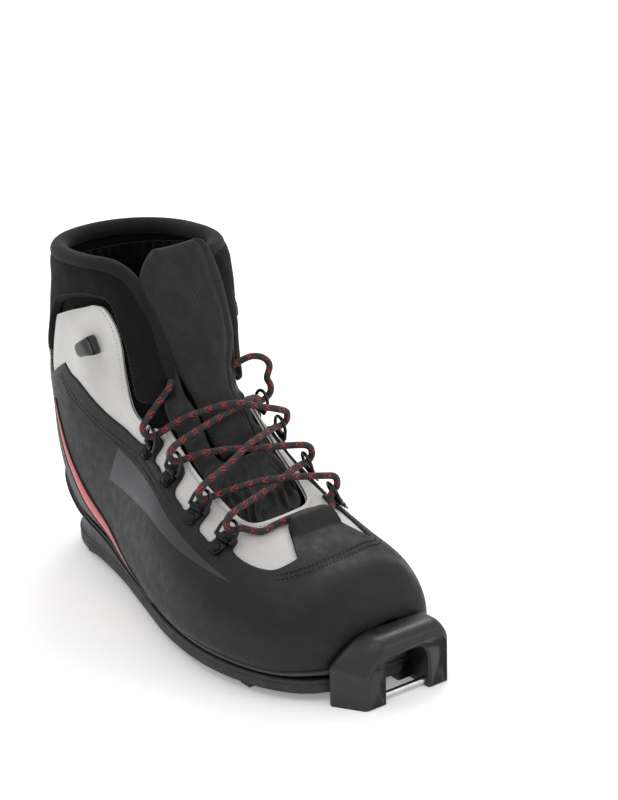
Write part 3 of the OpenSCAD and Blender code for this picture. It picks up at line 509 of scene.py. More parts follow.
def finish(name, dark, light, rough, pattern, depth_mm, blotch_mm=30, show=0.0, fleck=None, **sockets):
    """A principled material. Its colour lies between dark and light by slow noise, and by the pattern as
    far as show says. Its roughness lies between two values by middling noise, and its bump is depth_mm
    high and comes from the pattern."""
    made = bpy.data.materials.new(name)
    made.use_nodes = True
    tree = made.node_tree
    shader = tree.nodes["Principled BSDF"]
    place = add(tree, "ShaderNodeTexCoord").outputs["Object"]
    cloth = add(tree, "ShaderNodeSeparateXYZ", {0: add(tree, "ShaderNodeUVMap", uv_map="cloth")})
    height = pattern(tree, place, cloth)
    slow = add(tree, "ShaderNodeTexNoise", {"Vector": place, "Scale": 1000 / blotch_mm, "Detail": 5.0})
    shade = add(tree, "ShaderNodeMapRange", {"Value": slow, "From Min": 0.3, "From Max": 0.7})
    if show:
        shade = add(tree, "ShaderNodeMix", {0: show, 2: shade, 3: height}, data_type="FLOAT")
    mixed = add(tree, "ShaderNodeMix", {0: shade, 6: colour(dark), 7: colour(light)},
                data_type="RGBA").outputs[2]
    if fleck is not None:
        mixed = add(tree, "ShaderNodeMix", {0: fleck[0](tree, place, cloth), 6: mixed, 7: colour(fleck[1])},
                    data_type="RGBA").outputs[2]
    tree.links.new(mixed, shader.inputs["Base Color"])
    middling = add(tree, "ShaderNodeTexNoise", {"Vector": place, "Scale": 1000 / 6.0, "Detail": 4.0})
    range_ = add(tree, "ShaderNodeMapRange", {"Value": middling, "From Min": 0.3, "From Max": 0.7,
                                              "To Min": rough[0], "To Max": rough[1]})
    tree.links.new(range_.outputs[0], shader.inputs["Roughness"])
    bump = add(tree, "ShaderNodeBump", {"Strength": 1.0, "Distance": depth_mm / 1000, "Height": height})
    tree.links.new(bump.outputs[0], shader.inputs["Normal"])
    for key, value in sockets.items():
        shader.inputs[key.replace("_", " ")].default_value = value
    return made


def lace_flecks(tree, place, cloth):
    """Red threads show as slanted dashes: within every 9 mm a stretch of 4.1 mm, where the strand is on
    top."""
    share = add(tree, "ShaderNodeMath", {0: cloth.outputs[0], 1: 9.0}, operation="DIVIDE")
    part = add(tree, "ShaderNodeMath", {0: share}, operation="FRACT")
    inside = add(tree, "ShaderNodeMath", {0: part, 1: 0.46}, operation="LESS_THAN")
    around = add(tree, "ShaderNodeMath", {0: cloth.outputs[1], 1: math.pi * LACE_D / 2},
                 operation="MULTIPLY")
    slope = add(tree, "ShaderNodeMath", {0: cloth.outputs[0], 1: 0.55, 2: around}, operation="MULTIPLY_ADD")
    strand = add(tree, "ShaderNodeMath", {0: sine_of(tree, slope, 2.1), 1: 0.80}, operation="GREATER_THAN")
    return add(tree, "ShaderNodeMath", {0: inside, 1: strand}, operation="MULTIPLY")


# %% [markdown]
# ### The finishes of this boot
# A dark leather is never black: its middle grey lets the grain show. Rubber is duller than leather,
# and the toe block, pressed in a polished mould, is glossier than the sole. Steel keeps its default IOR.

# %% Finishes
black_leather = finish("coated_microfibre_black", "#0e0e0f", "#161617", (0.46, 0.60), leather_grain, 0.06,
                       35,
                       Specular_IOR_Level=0.32)
light_leather = finish("coated_microfibre_light", "#b9b8b6", "#cccbc8", (0.45, 0.6), leather_grain, 0.03,
                       30)
red_leather = finish("coated_microfibre_red", "#a81d18", "#c22a22", (0.2, 0.32), fine_skin, 0.02, 20)
print_film = finish("printed_film_grey", "#202125", "#2b2c31", (0.34, 0.44), leather_grain, 0.04, 40)
sole_rubber = finish("moulded_rubber_sole", "#1d1d1e", "#2a2a2b", (0.55, 0.75), fine_skin, 0.09, 25)
cup_rubber = finish("moulded_rubber_cup", "#242425", "#313132", (0.45, 0.62), fine_skin, 0.06, 25)
block_rubber = finish("polished_rubber_toe", "#111112", "#1b1b1c", (0.30, 0.44), fine_skin, 0.035, 20)
woven_cloth = finish("woven_polyester_dark", "#0a0a0b", "#333334", (0.7, 0.9), plain_weave, 0.2, 18, 0.8,
                     Sheen_Weight=0.05, Specular_IOR_Level=0.25, Sheen_Roughness=0.5)
crinkle_cloth = finish("woven_nylon_gusset", "#0f0e0f", "#282627", (0.5, 0.7), plain_weave, 0.12, 18, 0.5,
                       Sheen_Weight=0.04, Specular_IOR_Level=0.35)
knit_mesh = finish("ribbed_mesh_grey", "#3c3c3d", "#757575", (0.75, 0.95), ribbed_knit, 0.35, 20, 0.75)
collar_cloth = finish("woven_collar_cloth", "#09090a", "#161617", (0.72, 0.9), plain_weave, 0.12, 22, 0.5,
                      Sheen_Weight=0.02, Specular_IOR_Level=0.12)
fleece = finish("brushed_fleece", "#050405", "#0f0d0f", (0.9, 1.0), pile, 0.6, 12, 0.4, Sheen_Weight=0.08,
                Specular_IOR_Level=0.1,
                Sheen_Roughness=0.4)
rim_cloth = finish("knitted_rim_binding", "#121113", "#232024", (0.8, 0.95), pile, 0.25, 12, 0.4,
                   Sheen_Weight=0.08, Specular_IOR_Level=0.15)
thread = finish("polyester_thread_dark", "#0b0b0c", "#161617", (0.5, 0.65), fine_skin, 0.05, 6)
light_thread = finish("polyester_thread_grey", "#a9a8a6", "#bdbcba", (0.5, 0.65), fine_skin, 0.05, 6)
lace_cord = finish("braided_polyester_lace", "#121112", "#2a2728", (0.6, 0.8), braid, 0.22, 8, 0.6,
                   (lace_flecks, "#b01c26"), Sheen_Weight=0.05)
aglet_film = finish("shrunk_film_aglet", "#5c1f20", "#7a2626", (0.15, 0.3), fine_skin, 0.02, 8)
bright_steel = finish("drawn_steel_bright", "#b4b6b8", "#d2d4d5", (0.16, 0.3), drawn_wire, 0.01, 10,
                      Metallic=1.0)
ring_steel = finish("drawn_steel_dark_plated", "#2c2c2e", "#3e3f41", (0.12, 0.24), drawn_wire, 0.01, 8,
                    Metallic=1.0)
dark_steel = finish("blackened_steel_plate", "#1f1f21", "#313234", (0.26, 0.42), drawn_wire, 0.015, 8,
                    Metallic=1.0)
gloss_black = finish("moulded_nylon_gloss", "#0f0f10", "#1a1a1b", (0.08, 0.16), fine_skin, 0.01, 20,
                     Coat_Weight=0.5,
                     Coat_Roughness=0.05)
foam = finish("cut_foam", "#4d4d52", "#5e5e62", (0.8, 0.95), fine_skin, 0.1, 10)
board = finish("pressed_fibre_board", "#7d6d54", "#97876a", (0.7, 0.9), pile, 0.1, 10)
felt = finish("felted_insole", "#56595b", "#707375", (0.85, 1.0), pile, 0.3, 15, 0.3, Sheen_Weight=0.3)


def dress(piece, body, look, slot_name, *nodes):
    """Gives a piece its material and its body, and hides the solids that it stands for. slot_name is not
    used.
    """
    piece.data.materials.clear()
    piece.data.materials.append(look)
    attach(piece, body)
    if nodes:
        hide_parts(*nodes)
    return piece


lace.data.materials.append(lace_cord)
for piece in aglets:
    piece.data.materials.append(aglet_film)
print(len(bpy.data.materials), "finishes")

# %% [markdown]
# ## The black overlay
# Coated microfibre is cut flat and stretched over the last, so it lies tight, with slight swells and
# one soft crease where the toes bend. The overlay runs from one ankle round the toe to the other.
# Its throat edge steps out under each ring as a tab and steps back between them, and a tab in the
# middle passes over the lace. Two rows of stitching follow it.

# %% Overlay
def along_ridge(s, g, line, width):
    """A Gaussian ridge, 1 on a line of (s, g) points and falling off in width mm."""
    p = skin(s, g)
    path = smooth_line(line, 6)
    q = skin(*path.T)
    d2 = np.full(p.shape[:-1], 1e9)
    for point in q:
        d2 = np.minimum(d2, ((p - point) ** 2).sum(-1))
    return np.exp(-d2 / width**2)


throat_out = [[.256, .012], [.256, -.035], [.250, -.060], [.228, -.044], [.205, -.038], [.184, -.054],
              [.171, -.108], [.177, -.182], [.200, -.210], [.235, -.224], [.262, -.226], [.277, -.218],
              [.284, -.190], [.315, -.188], [.321, -.248], [.342, -.256], [.363, -.252], [.370, -.195],
              [.400, -.197], [.407, -.256], [.43, -.266], [.455, -.268], [.462, -.214], [.494, -.222],
              [.501, -.282], [.527, -.294], [.551, -.302], [.559, -.258], [.591, -.272], [.600, -.318],
              [.64, -.342], [.672, -.362], [.72, -.405], [.77, -.455], [.81, -.495], [.842, -.53]]
low_out = [[.001, .0], [.001, -.12], [.001, -.22], [.001, -.33], [.001, -.45], [.001, -.58], [.01, -.70],
           [.05, -.71], [.10, -.71], [.16, -.71], [.205, -.71], [.235, -.71], [.265, -.71], [.30, -.71],
           [.32, -.708], [.342, -.705], [.363, -.70], [.376, -.695], [.400, -.688], [.41, -.680],
           [.43, -.667], [.455, -.648], [.467, -.641], [.494, -.622], [.502, -.617], [.527, -.605],
           [.551, -.594], [.562, -.59], [.591, -.584], [.600, -.582], [.64, -.582], [.672, -.588],
           [.72, -.604], [.77, -.626], [.81, -.645], [.838, -.662]]
throat_in = [[.256, .012], [.256, .040], [.253, .056], [.244, .066], [.21, .070], [.180, .080],
             [.168, .105], [.170, .155], [.187, .178], [.222, .194], [.262, .200], [.277, .196],
             [.284, .168], [.315, .168], [.321, .224], [.342, .231], [.363, .228], [.370, .174],
             [.400, .176], [.407, .230], [.43, .239], [.455, .242], [.462, .188], [.494, .195],
             [.501, .252], [.527, .262], [.551, .270], [.559, .225], [.591, .238], [.600, .285],
             [.64, .312], [.672, .332], [.72, .375], [.77, .428], [.81, .47], [.842, .51]]
throat_line = smooth_line(throat_out[::-1] + throat_in[1:], 6)
low_line = smooth_line(low_out[::-1] + mirrored(low_out)[1:], 6)
seam_out = [[.83, -.56], [.75, -.475], [.672, -.398], [.60, -.35], [.527, -.322], [.43, -.292],
            [.342, -.283], [.26, -.262], [.20, -.240], [.163, -.195], [.145, -.13], [.139, -.06],
            [.141, .02], [.148, .09], [.155, .15], [.178, .20], [.24, .226], [.342, .256], [.43, .265],
            [.527, .29], [.60, .318], [.672, .365], [.75, .445], [.83, .54]]


def moved_across(line, distance):
    """A line of (s, g) moved sideways on the skin by a distance in mm, by the skin's two partial slopes."""
    line = np.asarray(line, float)
    s, g = line.T
    e = 1e-3
    ds, dg = (skin(s + e, g) - skin(s - e, g)) / 2 / e, (skin(s, g + e) - skin(s, g - e)) / 2 / e
    t = np.gradient(skin(s, g), axis=0)
    side = np.cross(outward(s, g), t)
    side *= distance / np.linalg.norm(side, axis=1, keepdims=True)
    a11, a12, a22 = (ds * ds).sum(1), (ds * dg).sum(1), (dg * dg).sum(1)
    b1, b2 = (ds * side).sum(1), (dg * side).sum(1)
    det = a11 * a22 - a12**2
    return line + np.stack([(a22 * b1 - a12 * b2) / det, (a11 * b2 - a12 * b1) / det], 1)


seam_one = smooth_line(seam_out, 10)
seam_two = moved_across(seam_one, -3.2)


TAB_RISE = 5.6  # mm that the centre tab stands up over the lace


def tab_rise(s, g, *_):
    """The centre tab's height: a smooth step up, narrow in g and ended before the throat."""
    step = np.clip((s - 0.212) / 0.035, 0, 1)
    return TAB_RISE * (step * step * (3 - 2 * step) * (np.abs(g - 0.014) < 0.075) * (s < 0.29))


def overlay_shape(s, g, rim, p, u, v):
    """Swells of the last, the toe crease, dents along both seams, and the tab that rises over the lace."""
    crease = along_ridge(s, g, [[.10, -.30], [.125, -.17], [.128, -.02], [.118, .12], [.10, .26]], 7)
    swell = (along_ridge(s, g, [[.155, -.42], [.16, -.30]], 12)
             + along_ridge(s, g, [[.08, -.2], [.095, .0], [.085, .2]], 9))
    dents = along_ridge(s, g, seam_one[::12], 1.1) + along_ridge(s, g, seam_two[::12], 1.1)
    return (tab_rise(s, g) + 0.28 * ripple(p, 26, 4) * (rim > 2)
            - 0.9 * crease + 0.7 * swell - 0.18 * dents)


overlay = slab("leather_overlay", throat_line, low_line, -1.8, 0.0, (460, 64), 0.9, overlay_shape, tab_rise)
dress(overlay, "boot", black_leather, "black_leather", "vamp", "quarter_lateral", "quarter_medial")
for number, seam in enumerate((seam_one, seam_two)):
    dress(stitches("overlay_stitches_%d" % number, seam, 0.02, 2.6, (2.1, 0.75, 0.6)), "boot", thread,
          "black_leather")

print_out = smooth_line([[.645, -.395], [.57, -.362], [.48, -.330], [.38, -.312], [.30, -.304],
                         [.235, -.306]], 8)
print_low = smooth_line([[.62, -.47], [.55, -.425], [.47, -.380], [.38, -.350], [.30, -.325],
                         [.235, -.309]], 8)
dress(slab("printed_band", print_out, print_low, -0.1, 0.14, (90, 16), 0.05,
           lambda s, g, rim, p, u, v: 0.28 * ripple(p, 26, 4)), "boot", print_film, "black_leather")

# %% [markdown]
# ## The light underlay and the ankle panels
# Under the overlay lies a horseshoe of light microfibre. It shows through the windows between the
# tabs, and its own rim, with a single seam, borders the gusset. The ankle panels are the same stuff.

# %% Light panels
under_in = smooth_line([[.585, -.232], [.51, -.203], [.44, -.176], [.37, -.152], [.312, -.137],
                        [.290, -.112], [.282, -.06], [.282, -.01], [.291, .038], [.314, .074], [.37, .105],
                        [.44, .128], [.51, .152], [.585, .18]], 8)
under_out = smooth_line([[.60, -.345], [.51, -.32], [.44, -.30], [.37, -.29], [.28, -.27], [.19, -.25],
                         [.150, -.12], [.148, .02], [.16, .14], [.22, .225], [.32, .255], [.44, .27],
                         [.51, .285], [.60, .32]], 8)


def underlay_shape(s, g, rim, p, u, v):
    """Lies close under the overlay; its throat rim rises a little where the gusset pushes it up."""
    return (0.25 * ripple(p, 18, 9) + 1.1 * np.exp(-(v / 0.12) ** 2)
            - 0.35 * np.exp(-((v - 0.11) / 0.03) ** 2))


dress(slab("throat_underlay_panel", under_in, under_out, -3.6, -2.1, (260, 44), 0.7, underlay_shape),
      "boot", light_leather, "light_leather", "throat_underlay")
dress(stitches("underlay_stitches", seam_between(under_in, under_out, 2.6), -1.35, 2.4, (1.8, 0.6, 0.5)),
      "boot", light_thread, "light_leather")
ankle_front = smooth_line([[.925, -.42], [.915, -.365], [.88, -.318], [.83, -.30], [.75, -.31],
                           [.68, -.315], [.63, -.287], [.592, -.25]], 8)
ankle_back = smooth_line([[.918, -.63], [.90, -.655], [.87, -.672], [.825, -.672], [.77, -.53], [.70, -.45],
                          [.65, -.40], [.595, -.36]], 8)


def ankle_dome(s, g, rim, p, u, v):
    """A shallow dome with a line pressed in beside its seam."""
    return 0.4 * ripple(p, 24, 12) + 0.8 * np.clip(rim / 14, 0, 1) - 0.3 * np.exp(-((rim - 3.2) / 0.9) ** 2)


for word, sign in (("outer", 1), ("inner", -1)):
    front, back = (np.array(e) * [1, sign] for e in (ankle_front, ankle_back))
    dress(slab("ankle_panel_" + word, front, back, -3.6, -1.9, (120, 40), 0.7, ankle_dome),
          "boot", light_leather, "light_leather",
          "ankle_panel_lateral" if sign > 0 else "ankle_panel_medial")
    dress(stitches("ankle_stitches_" + word, seam_between(front, back, 3.2, 0.06, 0.96), -1.75, 2.4,
                   (1.8, 0.6, 0.5)),
          "boot", light_thread, "light_leather")

# %% [markdown]
# ## Mesh, stripe and piping at the heel
# Knitted mesh lets the heel breathe. A tapered stripe of glossy red film leads from it to the sole,
# with a thin black cord of piping along its front edge.

# %% Heel mesh and stripes
mesh_high = smooth_line(round_back([[.56, -.665], [.62, -.642], [.69, -.638], [.80, -.652], [.862, -.70],
                                    [.878, -.78], [.876, -.9], [.876, -1]]), 8)
mesh_low = smooth_line(round_back([[.555, -.70], [.60, -.715], [.64, -.74], [.68, -.80], [.715, -.87],
                                   [.735, -.93], [.745, -.97], [.748, -1]]), 8)
dress(slab("heel_mesh_panel", mesh_high, mesh_low, -1.9, -0.3, (170, 44), 0.6,
           lambda s, g, rim, p, u, v: 0.5 * ripple(p, 30, 21) + 0.6 * np.clip(rim / 10, 0, 1)),
      "boot", knit_mesh, "grey_mesh", "heel_mesh")
stripe_high = smooth_line([[.80, -.640], [.74, -.610], [.68, -.588], [.62, -.577], [.56, -.584],
                           [.50, -.612], [.455, -.650], [.425, -.678]], 8)
stripe_low = smooth_line([[.80, -.662], [.74, -.645], [.68, -.634], [.62, -.642], [.56, -.664],
                          [.50, -.692], [.455, -.694], [.425, -.692]], 8)
for word, sign in (("lateral", 1), ("medial", -1)):
    high, low = (np.array(e) * [1, sign] for e in (stripe_high, stripe_low))
    dress(slab("stripe_" + word + "_film", high, low, -1.6, 0.15, (130, 12), 0.5,
               lambda s, g, rim, p, u, v: 0.5 * np.sin(np.pi * v)), "boot", red_leather, "red_leather",
               "stripe_" + word)
    for number, edge in enumerate((high, low)):
        cord = tube("piping_%s_%d" % (word, number), above(*edge.T, 0.15), 0.75 if number == 0 else 0.5, 10)
        dress(cord, "boot", black_leather, "black_leather")
print("upper done")

# %% [markdown]
# ## Padded collar, rim and lining
# The collar is foam between two cloths, so it crowns away from its seams. A knitted binding rolls over
# its edge, and the fleece inside is a little longer than the collar, which gathers it in small folds.

# %% Collar and lining
collar_rim = [[.655, -.187], [.70, -.174], [.75, -.165], [.80, -.160], [.863, -.163], [.92, -.200],
              [.965, -.250], [.985, -.305], [.99, -.36], [.99, -.42], [.99, -.50], [.99, -.58], [.99, -.66],
              [.99, -.74], [.99, -.83], [.99, -.92], [.99, -1], [.99, -1.1], [.99, -1.2], [.99, -1.3],
              [.99, -1.4], [.99, -1.5], [.99, -1.6], [.99, -1.69], [.99, -1.76], [.99, -1.82],
              [.988, -1.868], [.975, -1.905], [.92, -1.908], [.863, -1.895], [.80, -1.872], [.75, -1.852],
              [.70, -1.838], [.655, -1.822]]
collar_low = [[.652, -.215], [.675, -.268], [.70, -.292], [.75, -.288], [.81, -.283], [.87, -.298],
              [.908, -.320], [.928, -.355], [.935, -.40], [.94, -.45], [.94, -.51], [.937, -.57],
              [.928, -.635], [.895, -.685], [.862, -.76], [.852, -.88], [.85, -1], [.852, -1.12],
              [.862, -1.24], [.895, -1.315], [.928, -1.365], [.937, -1.43], [.94, -1.49], [.94, -1.55],
              [.937, -1.60], [.932, -1.64], [.925, -1.67], [.91, -1.685], [.88, -1.70], [.84, -1.712],
              [.79, -1.716], [.74, -1.712], [.70, -1.714], [.652, -1.78]]
rim_line, collar_line = smooth_line(collar_rim, 8), smooth_line(collar_low, 8)
collar = slab("collar_cloth_pad", rim_line, collar_line, -3.9, -0.6, (360, 40), 2.4,
              lambda s, g, rim, p, u,
              v: 2.6 * (1 - np.exp(-rim / 5)) + 0.5 * ripple(p, 16, 31) * (1 - np.exp(-rim / 3)))
dress(collar, "boot", collar_cloth, "dark_fabric", "collar")
ends = np.clip(np.minimum(np.arange(len(rim_line)), np.arange(len(rim_line))[::-1]) / 14, 0.25, 1)
rim = tube("collar_rim_binding", above(*rim_line.T, -4.6), 5.0 * ends ** 0.5, 18, first=(0, 0, 1))
dress(rim, "boot", rim_cloth, "dark_fabric")
dress(stitches("collar_stitches", seam_between(collar_line, rim_line, 2.2, 0.03, 0.97), 1.15, 2.6,
               (2.0, 0.6, 0.5)),
      "boot", thread, "dark_fabric")
boot_out = smooth_line([[0.20, -0.26], [0.25, -0.20], [0.32, -0.175], [0.40, -0.18], [0.48, -0.20],
                        [0.54, -0.215], [0.60, -0.22], [0.66, -0.215], [0.72, -0.21], [0.80, -0.205],
                        [0.88, -0.215], [0.94, -0.25], [0.975, -0.30]], 8)
boot_in = smooth_line([[0.20, -1.78], [0.25, -1.84], [0.32, -1.87], [0.40, -1.86], [0.48, -1.84],
                       [0.54, -1.82], [0.60, -1.81], [0.66, -1.80], [0.72, -1.81], [0.80, -1.83],
                       [0.88, -1.865], [0.94, -1.88], [0.975, -1.87]], 8)


def gathers(s, g, rim, p, u, v):
    """Small upright folds of the lining, 9 mm apart round the ankle, deepest near the rim."""
    fade = np.clip((s - 0.72) / 0.2, 0, 1)
    folds = np.abs(np.sin(np.pi * g / 0.052 + 1.2 * ripple(p, 40, 5)))
    return -fade * (1.3 * folds + 0.5 * ripple(p, 9, 6))


lining = slab("inner_boot_fleece", boot_out, boot_in, -8.0, -4.9, (150, 420), 1.2, None, gathers)
dress(lining, "boot", fleece, "fleece", "inner_boot")

# %% [markdown]
# ## Tongue and gusset
# The tongue is padded cloth whose upper part leans away, made as one mesh. The gusset between it
# and the throat is loose cloth, pulled into folds by its seam.

# %% Tongue and gusset
tongue_left = smooth_line([[.44, -.08], [.50, -.095], [.56, -.108], [.62, -.122], [.686, -.136],
                           [.74, -.142], [.80, -.144], [.86, -.158], [.925, -.205], [.965, -.196],
                           [1.008, -.135], [1.034, -.085]], 8)
tongue_right = smooth_line([[.44, .04], [.50, .062], [.56, .08], [.62, .105], [.686, .145], [.74, .165],
                            [.80, .158], [.86, .142], [.92, .125], [.975, .11], [1.02, .09],
                            [1.036, .05]], 8)


def tongue_shape(s, g, rim, p, u, v):
    """A broad crown, one soft fold down its inner side, creases where the lace presses it, and slow
    wrinkles."""
    crown = 3.4 * (1 - np.exp(-rim / 9)) - 3.0
    fold = np.exp(-((v - 0.80 + 0.04 * np.sin(5 * u)) / 0.05) ** 2) * np.clip(u * 3, 0, 1)
    low = np.clip(1 - u / 0.42, 0, 1)
    pressed = np.exp(-((np.modf(u * 9 + 0.5 * v)[0] - 0.5) / 0.16) ** 2) * low
    over = 3.2 * np.clip((v - 0.55) / 0.3, 0, 1) * np.clip((u - 0.35) / 0.15, 0, 1)
    return (crown + over + (0.7 + 0.9 * low) * ripple(p, 24, 41) * (1 - np.exp(-rim / 4))
            - 1.5 * fold - 0.9 * pressed)


tongue = slab("tongue_pad", tongue_left, tongue_right, -8.0, 0.2, (150, 60), 3.2, tongue_shape, None,
              np.array([0, 0.15, 0.5, 1.1, 2.0, 3.2]))
tongue.data.materials.append(woven_cloth)
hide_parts("tongue_lower", "tongue_upper")
fold_low, fold_high = above(0.655, 0.0, -4.0) / 1000, above(0.735, 0.0, -4.0) / 1000
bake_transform(tongue)
gusset_out = smooth_line([[.74, -.185], [.69, -.205], [.64, -.225], [.58, -.222], [.52, -.197],
                          [.44, -.170], [.36, -.145], [.31, -.128], [.292, -.098], [.287, -.05],
                          [.289, -.01], [.300, .036], [.330, .070], [.36, .095], [.44, .118], [.52, .142],
                          [.58, .168], [.64, .19], [.69, .175], [.74, .16]], 8)
gusset_in = smooth_line([[.74, -.13], [.69, -.14], [.64, -.145], [.58, -.125], [.52, -.11], [.46, -.105],
                         [.435, -.09], [.43, -.065], [.428, -.045], [.428, -.03], [.428, -.015], [.43, .01],
                         [.435, .03], [.445, .05], [.47, .066], [.52, .08], [.58, .10], [.64, .125],
                         [.69, .13], [.74, .125]], 8)


def gusset_folds(s, g, rim, p, u, v):
    """Folds that fan out from the seam and run out towards the tongue, with small crumples."""
    fan = np.sin(2 * np.pi * (u * 19 + 0.6 * ripple(p, 22, 51)))
    height = 0.5 + 1.9 * fan * np.exp(-(v / 0.55) ** 2) + 0.9 * ripple(p, 9, 52)
    return height * (1 - np.exp(-rim / 2.0)) - 0.5


gusset = slab("gusset_cloth", gusset_out, gusset_in, -5.4, -3.6, (420, 60), 0.6, gusset_folds, gusset_folds)
dress(gusset, "boot", crinkle_cloth, "dark_fabric", "gusset")

# %% [markdown]
# ## Sole, rand and heel cup
# The outsole is moulded rubber: its lugs and groove are the solid's own. A moulded edge runs round
# it with a rounded rim and a fine line. The heel cup rises from the sole and grips the heel.

# %% Sole
def shell(name, outer, inner):
    """A closed wall between an outer and an inner grid of points of the same size."""
    n, m = outer.shape[:2]
    along, across = arc_length(outer[:, m // 2]), arc_length(outer[n // 2])
    uv = np.stack(np.broadcast_arrays(along[:, None], across[None]), -1).reshape(-1, 2)
    return mesh_piece(name, np.concatenate([outer, inner]), two_sided(n, m), np.concatenate([uv, uv]))


def wear(name, look):
    """Give one of the frame's own solids a finish in place of its plain colour."""
    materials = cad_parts[name].data.materials
    materials.clear()
    materials.append(look)



SOLE = np.array([[281, -14], [272, -42], [255, -57], [230, -66], [200, -69], [164, -65], [123, -54],
                 [90, -45], [60, -39], [32, -35], [14, -26], [5, -13], [4, 0], [9, 14], [24, 26], [55, 29],
                 [90, 28], [123, 29], [164, 33], [200, 37], [230, 38], [255, 35], [272, 27],
                 [281, 12]], float)
sole_ring = smooth_line(np.concatenate([SOLE[-3:], SOLE, SOLE[:4]]),
                        10)[30:30 + 10 * len(SOLE)] - MIDDLE[:2]
RING_STEP = 2.5  # mm of a moulding's UV map for each point of its ring


def ring_normals(ring):
    """Unit normals that point out of a closed flat line, from the difference of its neighbours."""
    t = np.roll(ring, -1, 0) - np.roll(ring, 1, 0)
    n = np.stack([t[:, 1], -t[:, 0]], -1)
    n /= np.linalg.norm(n, axis=1, keepdims=True)
    return n if ((ring - ring.mean(0)) * n).sum() > 0 else -n


def swept_ring(name, ring, profile):
    """A closed profile of (outward, z) points carried round a closed flat line."""
    n = ring_normals(ring)
    profile = np.asarray(profile, float)
    xy = ring[:, None] + n[:, None] * profile[None, :, :1]
    points = np.concatenate([xy, np.broadcast_to(profile[None, :, 1:], xy.shape[:2] + (1,))], -1)
    faces = grid_faces(len(ring), len(profile), True, True)
    arc = np.arange(len(ring))[:, None] * RING_STEP + np.zeros(len(profile))
    uv = np.stack([arc, arc * 0 + np.arange(len(profile))], -1).reshape(-1, 2)
    return mesh_piece(name, points, faces, uv)


edge_profile = [[-1.5, 5.1], [-0.1, 5.0], [0.35, 5.3], [0.5, 6.0], [0.55, 8.0], [0.55, 10.1], [0.25, 10.35],
                [0.1, 10.6], [0.25, 10.85], [0.6, 11.1], [0.7, 11.9], [0.6, 12.6], [0.2, 13.1],
                [-0.8, 13.3], [-1.8, 13.2], [-2.4, 12.4], [-2.4, 8.0]]
sole_edge = swept_ring("sole_edge_moulding", sole_ring, edge_profile)
dress(sole_edge, "boot", sole_rubber, "rubber")
wear("outsole", sole_rubber)

cup_top = smooth_line(round_back([[.465, -.715], [.50, -.705], [.55, -.695], [.60, -.695], [.66, -.715],
                                  [.70, -.77], [.735, -.87], [.752, -1]]), 10)
cup_mid = smooth_line(round_back([[.465, -.76], [.50, -.765], [.55, -.77], [.59, -.78], [.64, -.815],
                                  [.675, -.865], [.70, -.93], [.712, -1]]), 10)


def cup_rows(push):
    """Outer rows of the cup: its top line, the skin below it, and the sole's edge, joined by a smooth
    profile."""
    top, middle = above(*cup_top.T, push), above(*cup_mid.T, push + 0.5)
    foot = []
    for point in middle:
        foot.append(sole_ring[np.argmin(((sole_ring - point[:2]) ** 2).sum(1))])
    foot = np.array(foot)
    kernel = np.ones(9) / 9
    foot = np.stack([np.convolve(np.pad(foot[:, i], 4, "edge"), kernel, "valid") for i in range(2)], -1)
    centre = np.array([-90.0, 12.0])
    way = (foot - centre) / np.linalg.norm(foot - centre, axis=1, keepdims=True)
    foot = np.concatenate([foot + way * (push - 2.3), np.full((len(foot), 1), 12.9)], 1)
    v = np.linspace(0, 1, 30)[None, :, None]
    ctrl = middle + 0.35 * (middle - (top + foot) / 2)
    return (1 - v) ** 2 * top[:, None] + 2 * v * (1 - v) * ctrl[:, None] + v**2 * foot[:, None]


outer = cup_rows(2.6)
inner = cup_rows(0.6)
vv = np.linspace(0, 1, 30)
lip = (0.9 * np.exp(-((vv - 0.05) / 0.04) ** 2) - 0.5 * np.exp(-((vv - 0.14) / 0.025) ** 2)
       - 0.4 * np.exp(-((vv - 0.9) / 0.03) ** 2))
way = outer - inner
way /= np.linalg.norm(way, axis=-1, keepdims=True) + 1e-6
outer = outer + way * lip[None, :, None]
dress(shell("heel_cup_moulding", outer, inner), "boot", cup_rubber, "rubber", "heel_cup")
rand_high = smooth_line([[.035, -.66], [.06, -.672], [.10, -.678], [.16, -.68], [.24, -.68], [.32, -.68],
                         [.40, -.688], [.455, -.70], [.48, -.715]], 10)
rand_low = smooth_line([[.04, -.80], [.06, -.80], [.10, -.79], [.16, -.785], [.24, -.785], [.32, -.785],
                        [.40, -.785], [.455, -.79], [.48, -.795]], 10)
for word, sign in (("outer", 1), ("inner", -1)):
    high, low = (e * [1, sign] for e in (rand_high, rand_low))
    piece = slab("rand_" + word, high, low, 0.1, 1.5, (160, 16), 0.9,
                 lambda s, g, rim, p, u,
                 v: 0.7 * np.exp(-((v - 0.12) / 0.07) ** 2) - 0.5 * np.exp(-((v - 0.3) / 0.05) ** 2))
    dress(piece, "boot", cup_rubber, "rubber", *(["rand"] if sign > 0 else []))
print("sole done")

# %% [markdown]
# ## Insole
# The felt bed takes the plan of the sole, fitted into the box of the insole's solid. Its edge rounds
# down, and the heel has a shallow hollow.

